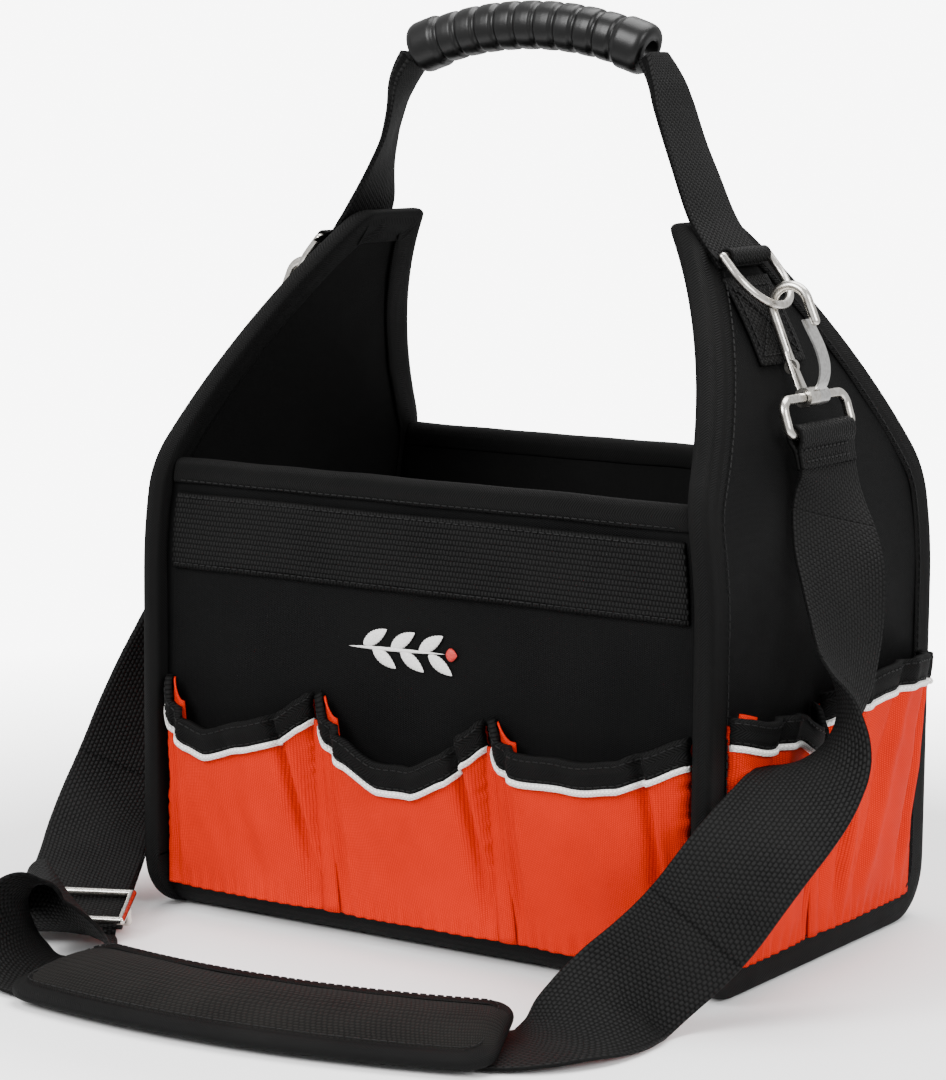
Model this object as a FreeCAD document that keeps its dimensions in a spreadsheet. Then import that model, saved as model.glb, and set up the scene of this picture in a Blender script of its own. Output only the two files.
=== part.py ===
import FreeCAD, Part
import math
import os

from FreeCAD import Placement, Rotation, Vector

# Garden tool bag: an open tote on a stiff base, with two tall leaning end panels, a webbing carrying
# handle between them, pockets all round and a shoulder strap with a pad, an adjuster and two snap hooks.
# X runs along the width, the front faces -Y, Z is up and the origin is the middle of the base on the floor.

DRIVING = [
    ("bag_width", 300),
    ("bag_depth", 205),
    ("wall_height", 212),
    ("end_height", 324),
    ("end_top_half_width", 22),
    ("end_top_x", 90),
    ("lean_start", 160),
    ("corner_radius", 25),
    ("seam_inset", 6),
    ("gusset_radius", 20),
    ("cloth", 1.5),
    ("board", 4),
    ("tape", 1.5),
    ("tape_width", 10),
    ("wall_board", 3),
    ("base_board_thickness", 4),
    ("band_height", 35),
    ("band_top", 198),
    ("band_thickness", 2),
    ("pocket_floor", 15),
    ("pocket_cloth", 1.6),
    ("pocket_tape_height", 12),
    ("front_bulge", 20),
    ("side_bulge", 18),
    ("hardware_y", -4),
    ("ring_wire", 2),
    ("hook_wire", 2.2),
    ("loop_wire", 2.2),
    ("bearing_gap", 0.3),
    ("strap_width", 50),
    ("strap_thickness", 1.6),
    ("carry_width", 40),
    ("grip_radius", 9.3),
    ("grip_collar_radius", 12),
    ("grip_rise", 11.5),
    ("grip_half_length", 62),
    ("grip_height", 400),
    ("slider_half_width", 28),
    ("pad_width", 58),
    ("pad_thickness", 8),
]

doc = FreeCAD.newDocument("garden_tool_bag")
sheet = doc.addObject("Spreadsheet::Sheet", "sizes")
for row, (alias, value) in enumerate(DRIVING, start=1):
    sheet.set("A%d" % row, alias)
    sheet.set("B%d" % row, str(value))
    sheet.setAlias("B%d" % row, alias)
doc.recompute()

X, Y, Z = Vector(1, 0, 0), Vector(0, 1, 0), Vector(0, 0, 1)
PLANES = {
    "XY": Rotation(),
    "XZ": Rotation(X, 90),
    "YZ": Rotation(Vector(1, 1, 1), 120),
}
subparts = []


def size(alias):
    """One driving dimension, in millimetres."""
    return float(getattr(sheet, alias))


def publish(item, label):
    """Make an object a sub-part with a name of its own."""
    item.Label = label
    subparts.append(item)
    return item


def feature(label, shape, placement=None):
    """A sub-part whose shape is worked out here."""
    item = doc.addObject("Part::Feature", label)
    item.Shape = shape
    if placement is not None:
        item.Placement = placement.multiply(item.Placement)
    return publish(item, label)


def group(shapes):
    """Several solids as one shape."""
    return Part.makeCompound(shapes)


def outline_sketch(name, plane, edges):
    """A free sketch on one of the main planes."""
    sketch = doc.addObject("Sketcher::SketchObject", name)
    sketch.Placement = Placement(Vector(), PLANES[plane])
    sketch.addGeometry(edges)
    return sketch


def extrusion(name, sketch, expression):
    """A sketch pushed out evenly to both sides of its plane."""
    item = doc.addObject("Part::Extrusion", name)
    item.Base = sketch
    item.DirMode = "Normal"
    item.Symmetric = True
    item.Solid = True
    item.setExpression("LengthFwd", expression)
    return item


def boolean(kind, name, base, tool):
    """A cut or a common of two objects."""
    item = doc.addObject("Part::" + kind, name)
    item.Base = base
    item.Tool = tool
    return item


def mirrored(source, label):
    """The same piece on the other side of the bag."""
    item = doc.addObject("Part::Mirroring", label)
    item.Source = source
    item.Normal = X
    return publish(item, label)


def plate(label, sizes, corner):
    """A rectangular piece whose sizes and corner are expressions of the sheet."""
    item = doc.addObject("Part::Box", label)
    for name, expression in zip(("Length", "Width", "Height"), sizes):
        item.setExpression(name, expression)
    for axis, expression in zip("xyz", corner):
        item.setExpression("Placement.Base." + axis, expression)
    return publish(item, label)


def arc(start, middle, end):
    """An arc through three points."""
    return Part.Arc(start, middle, end)


# End panels --------------------------------------------------------------------------------------
# Seen from the front an end panel stands upright, then curves inwards on one large radius.
HALF = size("bag_width") / 2
LEAN_X = HALF - size("end_top_x")
LEAN_Z = size("end_height") - size("lean_start")
LEAN_RADIUS = (LEAN_X ** 2 + LEAN_Z ** 2) / (2 * LEAN_X)
LEAN_CENTRE = Vector(HALF - LEAN_RADIUS, 0, size("lean_start"))
TOP_ANGLE = math.degrees(math.asin(LEAN_Z / LEAN_RADIUS))
PANEL = 2 * size("cloth") + size("board")


def on_panel(height, above=0.0):
    """The point over the right end panel's outer face at a height, and so far above that face."""
    angle = math.asin(max(height - LEAN_CENTRE.z, 0) / LEAN_RADIUS)
    out = Vector(math.cos(angle), 0, math.sin(angle))
    if height < LEAN_CENTRE.z:
        return Vector(HALF + above, 0, height)
    return LEAN_CENTRE + out * (LEAN_RADIUS + above)


def lean_profile(inner, outer, low, angle):
    """Closed profile of a layer of the end panel, from inner to outer depth under its outer face."""
    def at(depth, turn):
        radius = LEAN_RADIUS - depth
        return Vector(LEAN_CENTRE.x + radius * math.cos(math.radians(turn)),
                      LEAN_CENTRE.z + radius * math.sin(math.radians(turn)), 0)

    foot_out, foot_in = Vector(HALF - outer, low, 0), Vector(HALF - inner, low, 0)
    return [
        Part.LineSegment(foot_out, at(outer, 0)),
        arc(at(outer, 0), at(outer, angle / 2), at(outer, angle)),
        Part.LineSegment(at(outer, angle), at(inner, angle)),
        arc(at(inner, angle), at(inner, angle / 2), at(inner, 0)),
        Part.LineSegment(at(inner, 0), foot_in),
        Part.LineSegment(foot_in, foot_out),
    ]


def end_outline(grow):
    """Outline of the end panel seen from its side: rounded at the foot, tapered above the walls."""
    deep, top = size("bag_depth") / 2, size("end_height")
    foot = size("tape")
    corners = [Vector(-deep, foot, 0), Vector(deep, foot, 0), Vector(deep, size("wall_height"), 0),
               Vector(size("end_top_half_width"), top, 0), Vector(-size("end_top_half_width"), top, 0),
               Vector(-deep, size("wall_height"), 0)]
    radii = [size("corner_radius"), size("corner_radius"), 40, 8, 8, 40]
    edges = []
    starts, ends = [], []
    count = len(corners)
    for index, corner in enumerate(corners):
        before = (corners[index - 1] - corner).normalize()
        after = (corners[(index + 1) % count] - corner).normalize()
        half_turn = before.getAngle(after) / 2
        reach = radii[index] / math.tan(half_turn)
        centre = corner + (before + after).normalize() * (radii[index] / math.sin(half_turn))
        starts.append(corner + before * reach)
        ends.append(corner + after * reach)
        nearest = centre + (corner - centre).normalize() * radii[index]
        edges.append(Part.Arc(starts[-1], nearest, ends[-1]).toShape())
        if index:
            edges.append(Part.makeLine(ends[index - 1], starts[index]))
    edges.append(Part.makeLine(ends[-1], starts[0]))
    wire = Part.Wire(Part.__sortEdges__(edges))
    return wire.makeOffset2D(grow) if grow else wire


def curves_of(wire):
    """Sketch geometry of a wire of lines and arcs."""
    geometry = []
    for edge in wire.Edges:
        ends = [edge.valueAt(edge.FirstParameter), edge.valueAt(edge.LastParameter)]
        if isinstance(edge.Curve, Part.Line):
            geometry.append(Part.LineSegment(*ends))
        else:
            middle = edge.valueAt((edge.FirstParameter + edge.LastParameter) / 2)
            geometry.append(Part.Arc(ends[0], middle, ends[1]))
    return geometry


def layer(name, outline, inner, outer, low=0.0, angle=TOP_ANGLE + 3):
    """One curved layer of the right end panel inside an outline."""
    profile = outline_sketch(name + "_profile", "XZ", lean_profile(inner, outer, low, angle))
    swept = extrusion(name + "_sweep", profile, "sizes.bag_depth * 1.5")
    side = outline_sketch(name + "_outline", "YZ", curves_of(outline))
    across = extrusion(name + "_across", side, "sizes.bag_width * 1.5")
    return boolean("Common", name, swept, across)


cloth, board, tape = size("cloth"), size("board"), size("tape")
edge_inset = -size("tape_width")
right_cloth = publish(layer("right_end_cloth", end_outline(0), 0, cloth), "right_end_panel")
right_board = publish(layer("right_end_stiff", end_outline(-3), cloth, cloth + board), "right_end_board")
whole = layer("right_end_whole", end_outline(0), 0, PANEL)
wrap = layer("right_end_wrap", end_outline(tape), -tape, PANEL + tape, angle=TOP_ANGLE + 4)
window = layer("right_end_window", end_outline(edge_inset), -9, PANEL + 9, angle=TOP_ANGLE + 9)
hollow_wrap = boolean("Cut", "right_end_wrap_hollow", wrap, whole)
right_binding = publish(boolean("Cut", "right_end_tape", hollow_wrap, window), "right_end_binding")
mirrored(right_cloth, "left_end_panel")
mirrored(right_board, "left_end_board")
mirrored(right_binding, "left_end_binding")

# Front and back walls, base and lining ------------------------------------------------------------
WALL_X = HALF - PANEL - tape
WALL_Y = size("bag_depth") / 2 - size("seam_inset")
wall_drop = LEAN_RADIUS - math.sqrt(LEAN_RADIUS ** 2 - (size("wall_height") - LEAN_CENTRE.z) ** 2)


def wall_outline(inset, low, high):
    """Front view of a wall between the two end panels, following their curve at the top."""
    side = WALL_X - inset
    radius = LEAN_RADIUS - (HALF - side)
    def edge(sign, height):
        turn = math.asin(max(height - LEAN_CENTRE.z, 0) / radius)
        return Vector(sign * (LEAN_CENTRE.x + radius * math.cos(turn)), height, 0)

    middle = (LEAN_CENTRE.z + high) / 2
    return [
        Part.LineSegment(Vector(-side, low, 0), Vector(side, low, 0)),
        Part.LineSegment(Vector(side, low, 0), edge(1, LEAN_CENTRE.z)),
        arc(edge(1, LEAN_CENTRE.z), edge(1, middle), edge(1, high)),
        Part.LineSegment(edge(1, high), edge(-1, high)),
        arc(edge(-1, high), edge(-1, middle), edge(-1, LEAN_CENTRE.z)),
        Part.LineSegment(edge(-1, LEAN_CENTRE.z), Vector(-side, low, 0)),
    ]


def wall_layer(label, inset, low, high, y, expression):
    """A flat layer of the front or back wall, as a padded body whose outer face stands at y."""
    body = doc.addObject("PartDesign::Body", label)
    sketch = body.newObject("Sketcher::SketchObject", label + "_outline")
    plane = [item for item in body.Origin.OriginFeatures if item.Role == "XZ_Plane"][0]
    sketch.AttachmentSupport = [(plane, "")]
    sketch.MapMode = "FlatFace"
    sketch.addGeometry(wall_outline(inset, low, high))
    pad = body.newObject("PartDesign::Pad", label + "_pad")
    pad.Profile = sketch
    pad.setExpression("Length", expression)
    body.Placement = Placement(Vector(0, y, 0), Rotation())
    return publish(body, label)


wall_board = size("wall_board")
GUSSET = size("gusset_radius")
BASE_Y = WALL_Y - GUSSET
base_top = cloth + size("base_board_thickness")
TOP = size("wall_height")
for side, sign in (("front", -1), ("back", 1)):
    outer_y = sign * WALL_Y
    # A pad grows towards -Y, so each layer is placed by its inner or outer face.
    face = outer_y + cloth if sign < 0 else outer_y
    wall_layer(side + "_panel", 0, GUSSET, TOP, face, "sizes.cloth")
    face = outer_y + cloth + wall_board if sign < 0 else outer_y - cloth
    wall_layer(side + "_board", 2, GUSSET, TOP - 3, face, "sizes.wall_board")

inner_y = WALL_Y - cloth - wall_board
plate("base_panel", ("2 * %g" % WALL_X, "2 * (%g - sizes.gusset_radius)" % WALL_Y, "sizes.cloth"),
      ("-%g" % WALL_X, "sizes.gusset_radius - %g" % WALL_Y, "0"))
plate("base_board", ("2 * %g" % (WALL_X - 1), "2 * (%g - sizes.gusset_radius)" % WALL_Y,
                     "sizes.base_board_thickness"),
      ("-%g" % (WALL_X - 1), "sizes.gusset_radius - %g" % WALL_Y, "sizes.cloth"))


def lining():
    """Thin open box that lines the compartment: two walls, the floor and both end faces."""
    def wall(y0, y1):
        shape = Part.Face(Part.Wire(Part.__sortEdges__([g.toShape() for g in wall_outline(0, GUSSET, TOP)])))
        shape.rotate(Vector(), X, 90)
        shape.translate(Vector(0, y1, 0))
        return shape.extrude(Vector(0, y0 - y1, 0))

    pieces = [wall(-inner_y, -inner_y + cloth), wall(inner_y - cloth, inner_y)]
    floor_y = BASE_Y + GUSSET / 2
    pieces.append(Part.makeBox(2 * WALL_X, 2 * floor_y, cloth, Vector(-WALL_X, -floor_y, base_top)))
    profile = [g.toShape() for g in lean_profile(cloth + board, PANEL, 0, TOP_ANGLE + 3)]
    sweep = Part.Face(Part.Wire(Part.__sortEdges__(profile)))
    sweep.rotate(Vector(), X, 90)
    sweep.translate(Vector(0, 200, 0))
    sweep = sweep.extrude(Vector(0, -400, 0))
    outline = Part.Face(end_outline(-2))
    outline.Placement = Placement(Vector(-300, 0, 0), PLANES["YZ"])
    right = sweep.common(outline.extrude(Vector(600, 0, 0)))
    pieces += [right, right.mirror(Vector(), X)]
    return group([solid for piece in pieces for solid in piece.Solids])


feature("compartment_lining", lining())


def top_binding(sign):
    """Folded tape over the top edge of the front or back wall."""
    outer, inner = sign * (WALL_Y + tape), sign * (inner_y - cloth - tape)
    reach = WALL_X - wall_drop - 0.5
    low, high = TOP - 8, TOP + tape
    block = Part.makeBox(2 * reach, abs(outer - inner), high - low, Vector(-reach, min(outer, inner), low))
    slot = Part.makeBox(2 * reach + 2, WALL_Y - inner_y + cloth, TOP - low,
                        Vector(-reach - 1, min(sign * WALL_Y, sign * (inner_y - cloth)), low))
    return block.cut(slot)


feature("wall_top_binding", group([top_binding(-1), top_binding(1)]))
edging = []
for sign in (-1, 1):
    start = Vector(-WALL_X, sign * BASE_Y, GUSSET)
    tube_part = Part.makeCylinder(GUSSET, 2 * WALL_X, start, X).cut(
        Part.makeCylinder(GUSSET - cloth, 2 * WALL_X, start, X))
    corner = Vector(-WALL_X, min(sign * BASE_Y, sign * WALL_Y), 0)
    edging.append(tube_part.common(Part.makeBox(2 * WALL_X, GUSSET, GUSSET, corner)))
feature("base_edge_binding", group(edging))
for side, corner in (("front", "-%g - sizes.band_thickness" % WALL_Y), ("back", "%g" % WALL_Y)):
    plate(side + "_tool_band", ("2 * %g" % (WALL_X - 5), "sizes.band_thickness", "sizes.band_height"),
          ("-%g" % (WALL_X - 5), corner, "sizes.band_top - sizes.band_height"))


# Embroidered sprig on the front wall: a stem with paired leaves and one berry at its tip.
SPRIG_X, SPRIG_Z, SPRIG_LENGTH, THREAD = -38, 137, 52, 0.8


def leaf(length, width, base, angle):
    """A flat pointed leaf of thread that starts at base and turns about it."""
    tip, high, low = Vector(length, 0, 0), Vector(length / 2, width / 2, 0), Vector(length / 2, -width / 2, 0)
    edges = [arc(Vector(), high, tip).toShape(), arc(tip, low, Vector()).toShape()]
    shape = Part.Face(Part.Wire(edges)).extrude(Vector(0, 0, THREAD))
    shape.rotate(Vector(), Z, angle)
    shape.translate(base)
    return shape


def sprig():
    """Stem, six leaves and a berry, apart from each other by a hair."""
    parts = [Part.makeBox(SPRIG_LENGTH, 1.2, THREAD, Vector(0, -0.6, 0))]
    for index in range(3):
        foot = 8 + 15 * index
        parts.append(leaf(15, 6, Vector(foot, 0.8, 0), 32))
        parts.append(leaf(15, 6, Vector(foot + 5, -0.8, 0), -32))
    parts.append(Part.makeCylinder(3, THREAD, Vector(SPRIG_LENGTH + 3.2, 0, 0)))
    shape = group(parts)
    shape.rotate(Vector(), X, 90)
    shape.translate(Vector(SPRIG_X, -WALL_Y, SPRIG_Z))
    return shape


feature("front_emblem", sprig())

# Pockets ------------------------------------------------------------------------------------------
# Each pocket is worked out against a wall: s along the wall, -Y away from it, Z up, and then turned
# and moved to its side of the bag. Spans are (foot start, foot end, mouth start, mouth end) and the
# mouth is a curve of heights over its span.
FRONT_POCKETS = [
    ((-140, -47, -140, -58), [(0, 112), (0.12, 98), (0.3, 91), (0.55, 94), (0.8, 101), (0.93, 109), (1, 113)]),
    ((-45, 48, -56, 34), [(0, 113), (0.1, 101), (0.25, 92), (0.45, 87), (0.65, 91), (0.85, 102), (1, 112)]),
    ((50, 140, 36, 140), [(0, 112), (0.08, 104), (0.2, 101), (0.45, 101), (0.7, 104), (0.85, 110), (1, 117)]),
]
SIDE_POCKETS = [
    ((-86, -13, -91, -12), [(0, 124), (0.2, 122), (0.5, 121), (0.75, 113), (0.9, 109), (1, 118)]),
    ((-10, 86, -9, 91), [(0, 121), (0.1, 126), (0.35, 131), (0.7, 131), (1, 128)]),
]
MOUTH_Z = 135
RISE = [(0.0, 4.0), (0.5, 0.62), (1.0, 1.0)]


def pocket_section(start, end, depth, back, height):
    """Closed D-shaped section of a pocket: flat at the wall, full in front."""
    run = end - start
    shape = [(0, 0), (0.05, 0.5), (0.25, 0.92), (0.5, 1), (0.75, 0.92), (0.95, 0.5), (1, 0)]
    points = [Vector(start + run * part, -depth * out, height) for part, out in shape]
    curve = Part.BSplineCurve()
    curve.interpolate(points)
    edges = [curve.toShape()]
    path = [points[-1], Vector(end, back, height), Vector(start, back, height), points[0]]
    if back == 0:
        path = [points[-1], points[0]]
    edges += [Part.makeLine(a, b) for a, b in zip(path, path[1:])]
    return Part.Wire(edges)


def pocket_solid(span, bulge, inset, grow, low):
    """Filled pocket from its foot to above its mouth, inset at the ends and grown outwards."""
    foot_start, foot_end, mouth_start, mouth_end = span
    back = 3 if inset else 0
    wires = []
    for part, share in RISE:
        depth = share if share > 1 else bulge * share
        start = foot_start + (mouth_start - foot_start) * part + inset
        end = foot_end + (mouth_end - foot_end) * part - inset
        wires.append(pocket_section(start, end, depth - inset + grow, back, low + (MOUTH_Z - low) * part))
    return Part.makeLoft(wires, True)


def above_mouth(span, mouth, drop):
    """Everything above the mouth curve lowered by drop."""
    start, end = span[2], span[3]
    points = [Vector(start + (end - start) * part, 0, height - drop) for part, height in mouth]
    points[0].x -= 12
    points[-1].x += 12
    curve = Part.BSplineCurve()
    curve.interpolate(points)
    path = [points[-1], Vector(points[-1].x, 0, 200), Vector(points[0].x, 0, 200), points[0]]
    edges = [curve.toShape()] + [Part.makeLine(a, b) for a, b in zip(path, path[1:])]
    face = Part.Face(Part.Wire(edges))
    face.translate(Vector(0, 20, 0))
    return face.extrude(Vector(0, -80, 0))


def pocket(span, mouth, bulge):
    """Cloth, mouth tape and piping of one pocket, against the wall."""
    skin, tape_low, low = size("pocket_cloth"), size("pocket_tape_height"), size("pocket_floor")
    filled = pocket_solid(span, bulge, 0, 0, low)
    shell = filled.cut(pocket_solid(span, bulge, skin, 0, low + 2))
    cloth_part = shell.cut(above_mouth(span, mouth, tape_low / 2))
    thick = pocket_solid(span, bulge, 0, 1.2, low).cut(pocket_solid(span, bulge, skin, -1.0, low + 2))
    rim = thick.common(above_mouth(span, mouth, tape_low)).cut(above_mouth(span, mouth, 0)).cut(cloth_part)
    cordlike = pocket_solid(span, bulge, 0, 1.6, low).cut(filled)
    piping = cordlike.common(above_mouth(span, mouth, tape_low + 3)).cut(above_mouth(span, mouth, tape_low))
    return cloth_part, rim, piping


def largest(shape):
    """The main solid of a shape, without the slivers a cut leaves."""
    return max(shape.Solids, key=lambda solid: solid.Volume)


def pocket_side(side, pockets, bulge, angle, offset):
    """All pockets on one side: a cloth node for each, and their tapes and pipings as one node each."""
    place = Placement(offset, Rotation(Z, angle))
    tapes = []
    for number, (span, mouth) in enumerate(pockets, start=1):
        cloth_part, rim, piping = pocket(span, mouth, bulge)
        feature("%s_pocket_%d" % (side, number), largest(cloth_part), place)
        tapes.append(largest(rim))
        white = largest(piping).copy()
        white.Placement = place.multiply(white.Placement)
        pocket_pipings.append(white)
    feature(side + "_pocket_tape", group(tapes), place)


pocket_pipings = []


def flipped(pockets):
    """The same pockets seen from the other hand."""
    return [((-s[1], -s[0], -s[3], -s[2]), [(1 - part, z) for part, z in reversed(mouth)])
            for s, mouth in reversed(pockets)]


pocket_side("front", FRONT_POCKETS, size("front_bulge"), 0, Vector(0, -WALL_Y, 0))
pocket_side("back", FRONT_POCKETS, size("front_bulge"), 180, Vector(0, WALL_Y, 0))
pocket_side("right", SIDE_POCKETS, size("side_bulge"), 90, Vector(HALF, 0, 0))
pocket_side("left", flipped(SIDE_POCKETS), size("side_bulge"), -90, Vector(-HALF, 0, 0))
feature("pocket_piping", group(pocket_pipings))


# Webbing ------------------------------------------------------------------------------------------
def ribbon(stations, thickness, width, first=0, last=None, clear=0.0):
    """A flat band through stations of (centre, direction across, width scale, thickness scale).

    The band runs from station first to station last, and clear shortens it at both ends.
    """
    last = len(stations) - 1 if last is None else last
    centres = [Vector(*station[0]) for station in stations]
    wires = []
    for index in range(first, last + 1):
        station = stations[index]
        ahead = centres[min(index + 1, len(centres) - 1)] - centres[max(index - 1, 0)]
        ahead.normalize()
        across = Vector(*station[1])
        across = (across - ahead * across.dot(ahead)).normalize()
        normal = across.cross(ahead)
        half_w = across * (width / 2 * (station[2] if len(station) > 2 else 1))
        half_t = normal * (thickness / 2 * (station[3] if len(station) > 3 else 1))
        shift = clear if index == first else -clear if index == last else 0
        c = centres[index] + ahead * shift
        wires.append(Part.makePolygon([c - half_w - half_t, c + half_w - half_t, c + half_w + half_t,
                                       c - half_w + half_t, c - half_w - half_t]))
    return Part.makeLoft(wires, True, True)


def across_at(angle):
    """A level direction at an angle from +X in plan."""
    return (math.cos(math.radians(angle)), math.sin(math.radians(angle)), 0)


# Hardware on the right end panel; the left end has the same pieces mirrored ------------------------
HY = size("hardware_y")
ring_wire, hook_wire, loop_wire = size("ring_wire"), size("hook_wire"), size("loop_wire")
gap = size("bearing_gap")
carry, patch = size("carry_width"), 1.5
BAR_HEIGHT, BAR_ABOVE = 308, 7.2
BAR = on_panel(BAR_HEIGHT, BAR_ABOVE)
RING_SLOPE, HOOK_SLOPE, LOOP_SLOPE = 41, 22.9, 17.5
RING_HALF, RING_DEPTH = 20, 28


def down(slope):
    """Direction of a piece that hangs outwards at a slope from straight down."""
    return Vector(math.sin(math.radians(slope)), 0, -math.cos(math.radians(slope)))


def hung(point, slope):
    """Placement of a piece that is drawn hanging from the origin along -Z."""
    return Placement(Vector(point.x, HY, point.z), Rotation(Y, -slope))


BOW = BAR + down(RING_SLOPE) * RING_DEPTH
HOOK_LENGTH = 42.3
LOOP = BOW + down(HOOK_SLOPE) * HOOK_LENGTH
LOOP_DROP = 15
FOLD = LOOP + down(LOOP_SLOPE) * LOOP_DROP


def rod(start, end, radius):
    """A round bar between two points."""
    return Part.makeCylinder(radius, (end - start).Length, start, end - start)


def d_ring():
    """Straight bar with a bow of the same wire, hanging along -Z."""
    drop = RING_DEPTH - RING_HALF
    arms = [rod(Vector(0, y, 0), Vector(0, y, -drop), ring_wire) for y in (-RING_HALF, RING_HALF)]
    ends = [Part.makeSphere(ring_wire, Vector(0, y, 0)) for y in (-RING_HALF, RING_HALF)]
    path = Part.Wire([Part.Arc(Vector(0, -RING_HALF, -drop), Vector(0, 0, -RING_DEPTH),
                               Vector(0, RING_HALF, -drop)).toShape()])
    section = Part.Wire([Part.makeCircle(ring_wire, Vector(0, -RING_HALF, -drop), Z)])
    bow = path.makePipeShell([section], True, True)
    bar = rod(Vector(0, -RING_HALF, 0), Vector(0, RING_HALF, 0), ring_wire)
    return bar.fuse(arms + ends + [bow]).removeSplitter()


def tube(point, outer, inner, start, end):
    """A sleeve along Y from start to end."""
    base = Vector(point.x, start, point.z)
    return Part.makeCylinder(outer, end - start, base, Y).cut(Part.makeCylinder(inner, end - start, base, Y))


CURL_X, CURL_Z, CURL_R = 4, -2, 9
EYE = Vector(0, 0, -HOOK_LENGTH)


def snap_hook():
    """Round-wire curl and leg, a flattened shank and a sleeve for the loop, hanging along -Z."""
    left, right = CURL_X - CURL_R, CURL_X + CURL_R
    path = Part.Wire([
        Part.makeLine(Vector(right, 0, -12), Vector(right, 0, CURL_Z)),
        Part.Arc(Vector(right, 0, CURL_Z), Vector(CURL_X, 0, CURL_Z + CURL_R),
                 Vector(left, 0, CURL_Z)).toShape(),
        Part.makeLine(Vector(left, 0, CURL_Z), Vector(left, 0, -20)),
    ])
    section = Part.Wire([Part.makeCircle(hook_wire, Vector(right, 0, -12), Z)])
    wire = path.makePipeShell([section], True, True)
    tip = Part.makeSphere(hook_wire, Vector(right, 0, -12))
    knee = Part.makeSphere(hook_wire, Vector(left, 0, -20))
    sections = []
    for x, y, z, thick, wide in ((left, 0, -20, 2.2, 2.2), (left + 1.6, -2, -28, 1.8, 3.2),
                                 (-1.4, -4.6, -38.6, 1.6, 4.3)):
        ellipse = Part.Ellipse(Vector(), max(thick, wide), min(thick, wide) - 0.01).toShape()
        ellipse.rotate(Vector(), Z, 90)
        ellipse.translate(Vector(x, y, z))
        sections.append(Part.Wire([ellipse]))
    shank = Part.makeLoft(sections, True)
    sleeve = tube(EYE, loop_wire + gap + 1.9, loop_wire + gap, -9, -gap)
    lug = Part.makeCylinder(3.2, 2.4, Vector(left + 1.2, -3.4, -27), Y)
    bore = Part.makeCylinder(loop_wire + gap, 40, Vector(0, -20, EYE.z), Y)
    return wire.fuse([tip, knee, shank, lug, sleeve]).cut(bore).removeSplitter()


LEAF = [(2.9, -41.1), (7.6, -37), (10, -32), (10.8, -26), (10.5, -20), (9.7, -14), (9.3, -10)]


def strip(points, thickness, y0, y1):
    """A bent flat spring through points in the XZ plane, from y0 to y1."""
    def side(offset):
        row = []
        for index, (x, z) in enumerate(points):
            x0, z0 = points[max(index - 1, 0)]
            x1, z1 = points[min(index + 1, len(points) - 1)]
            length = math.hypot(x1 - x0, z1 - z0)
            row.append(Vector(x - (z1 - z0) / length * offset, y0, z + (x1 - x0) / length * offset))
        curve = Part.BSplineCurve()
        curve.interpolate(row)
        return row, curve.toShape()

    (row_a, curve_a), (row_b, curve_b) = side(thickness / 2), side(-thickness / 2)
    face = Part.Face(Part.Wire(Part.__sortEdges__([
        curve_a, Part.makeLine(row_a[-1], row_b[-1]), curve_b, Part.makeLine(row_b[0], row_a[0])])))
    return face.extrude(Vector(0, y1 - y0, 0))


def spring_gate():
    """Leaf spring that closes the hook's mouth, with a barrel round the loop's bar."""
    leaf_spring = strip(LEAF, 0.9, -4, 5)
    barrel = tube(EYE, loop_wire + gap + 1.6, loop_wire + gap, gap, 9)
    room = Part.makeCylinder(loop_wire + gap + 2.6, 8.0, Vector(0, -7.7, EYE.z), Y)
    return leaf_spring.cut(room).fuse(barrel).removeSplitter()


def rectangular_loop():
    """Rounded rectangle of round wire, hanging along -Z, with the strap's bar at its foot."""
    half, top_r, low_r = 28.8, 6, 3.5
    corners = [
        (Vector(0, -half + top_r, 0), Vector(0, -half, -top_r), Vector(0, -half + top_r, -top_r), top_r),
        (Vector(0, -half, -LOOP_DROP + low_r), Vector(0, -half + low_r, -LOOP_DROP),
         Vector(0, -half + low_r, -LOOP_DROP + low_r), low_r),
        (Vector(0, half - low_r, -LOOP_DROP), Vector(0, half, -LOOP_DROP + low_r),
         Vector(0, half - low_r, -LOOP_DROP + low_r), low_r),
        (Vector(0, half, -top_r), Vector(0, half - top_r, 0), Vector(0, half - top_r, -top_r), top_r),
    ]
    pieces = []
    for index, (start, end, centre, radius) in enumerate(corners):
        middle = centre + ((start - centre) + (end - centre)).normalize() * radius
        path = Part.Wire([Part.Arc(start, middle, end).toShape()])
        tangent = (start - centre).cross(X)
        section = Part.Wire([Part.makeCircle(loop_wire, start, tangent)])
        pieces.append(path.makePipeShell([section], True, True))
        pieces.append(rod(end, corners[(index + 1) % 4][0], loop_wire))
    return pieces[0].fuse(pieces[1:]).removeSplitter()


def folded_end(bar_radius, length, width, thickness):
    """Webbing folded round a bar at the origin and sewn to itself below, hanging along -Z."""
    inner, outer = bar_radius + gap, bar_radius + gap + thickness
    low = -length
    start = Vector(-thickness, 0, low)
    points = [start, Vector(-thickness, 0, low * 0.6), Vector(-outer, 0, 0)]
    outline = [Part.makeLine(points[0], points[1]), Part.makeLine(points[1], points[2]),
               Part.Arc(points[2], Vector(0, 0, outer), Vector(outer, 0, 0)).toShape(),
               Part.makeLine(Vector(outer, 0, 0), Vector(thickness, 0, low * 0.6)),
               Part.makeLine(Vector(thickness, 0, low * 0.6), Vector(thickness, 0, low)),
               Part.makeLine(Vector(thickness, 0, low), start)]
    face = Part.Face(Part.Wire(outline))
    face.translate(Vector(0, -width / 2, 0))
    solid = face.extrude(Vector(0, width, 0))
    return solid.cut(Part.makeCylinder(inner, width + 2, Vector(0, -width / 2 - 1, 0), Y))


def both_sides(name, shape, place):
    """The piece on the right end panel and its mirror image on the left one."""
    shape = shape.copy()
    shape.Placement = place
    flat = shape.copy()
    feature("right_" + name, flat)
    feature("left_" + name, shape.mirror(Vector(), X))


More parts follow.
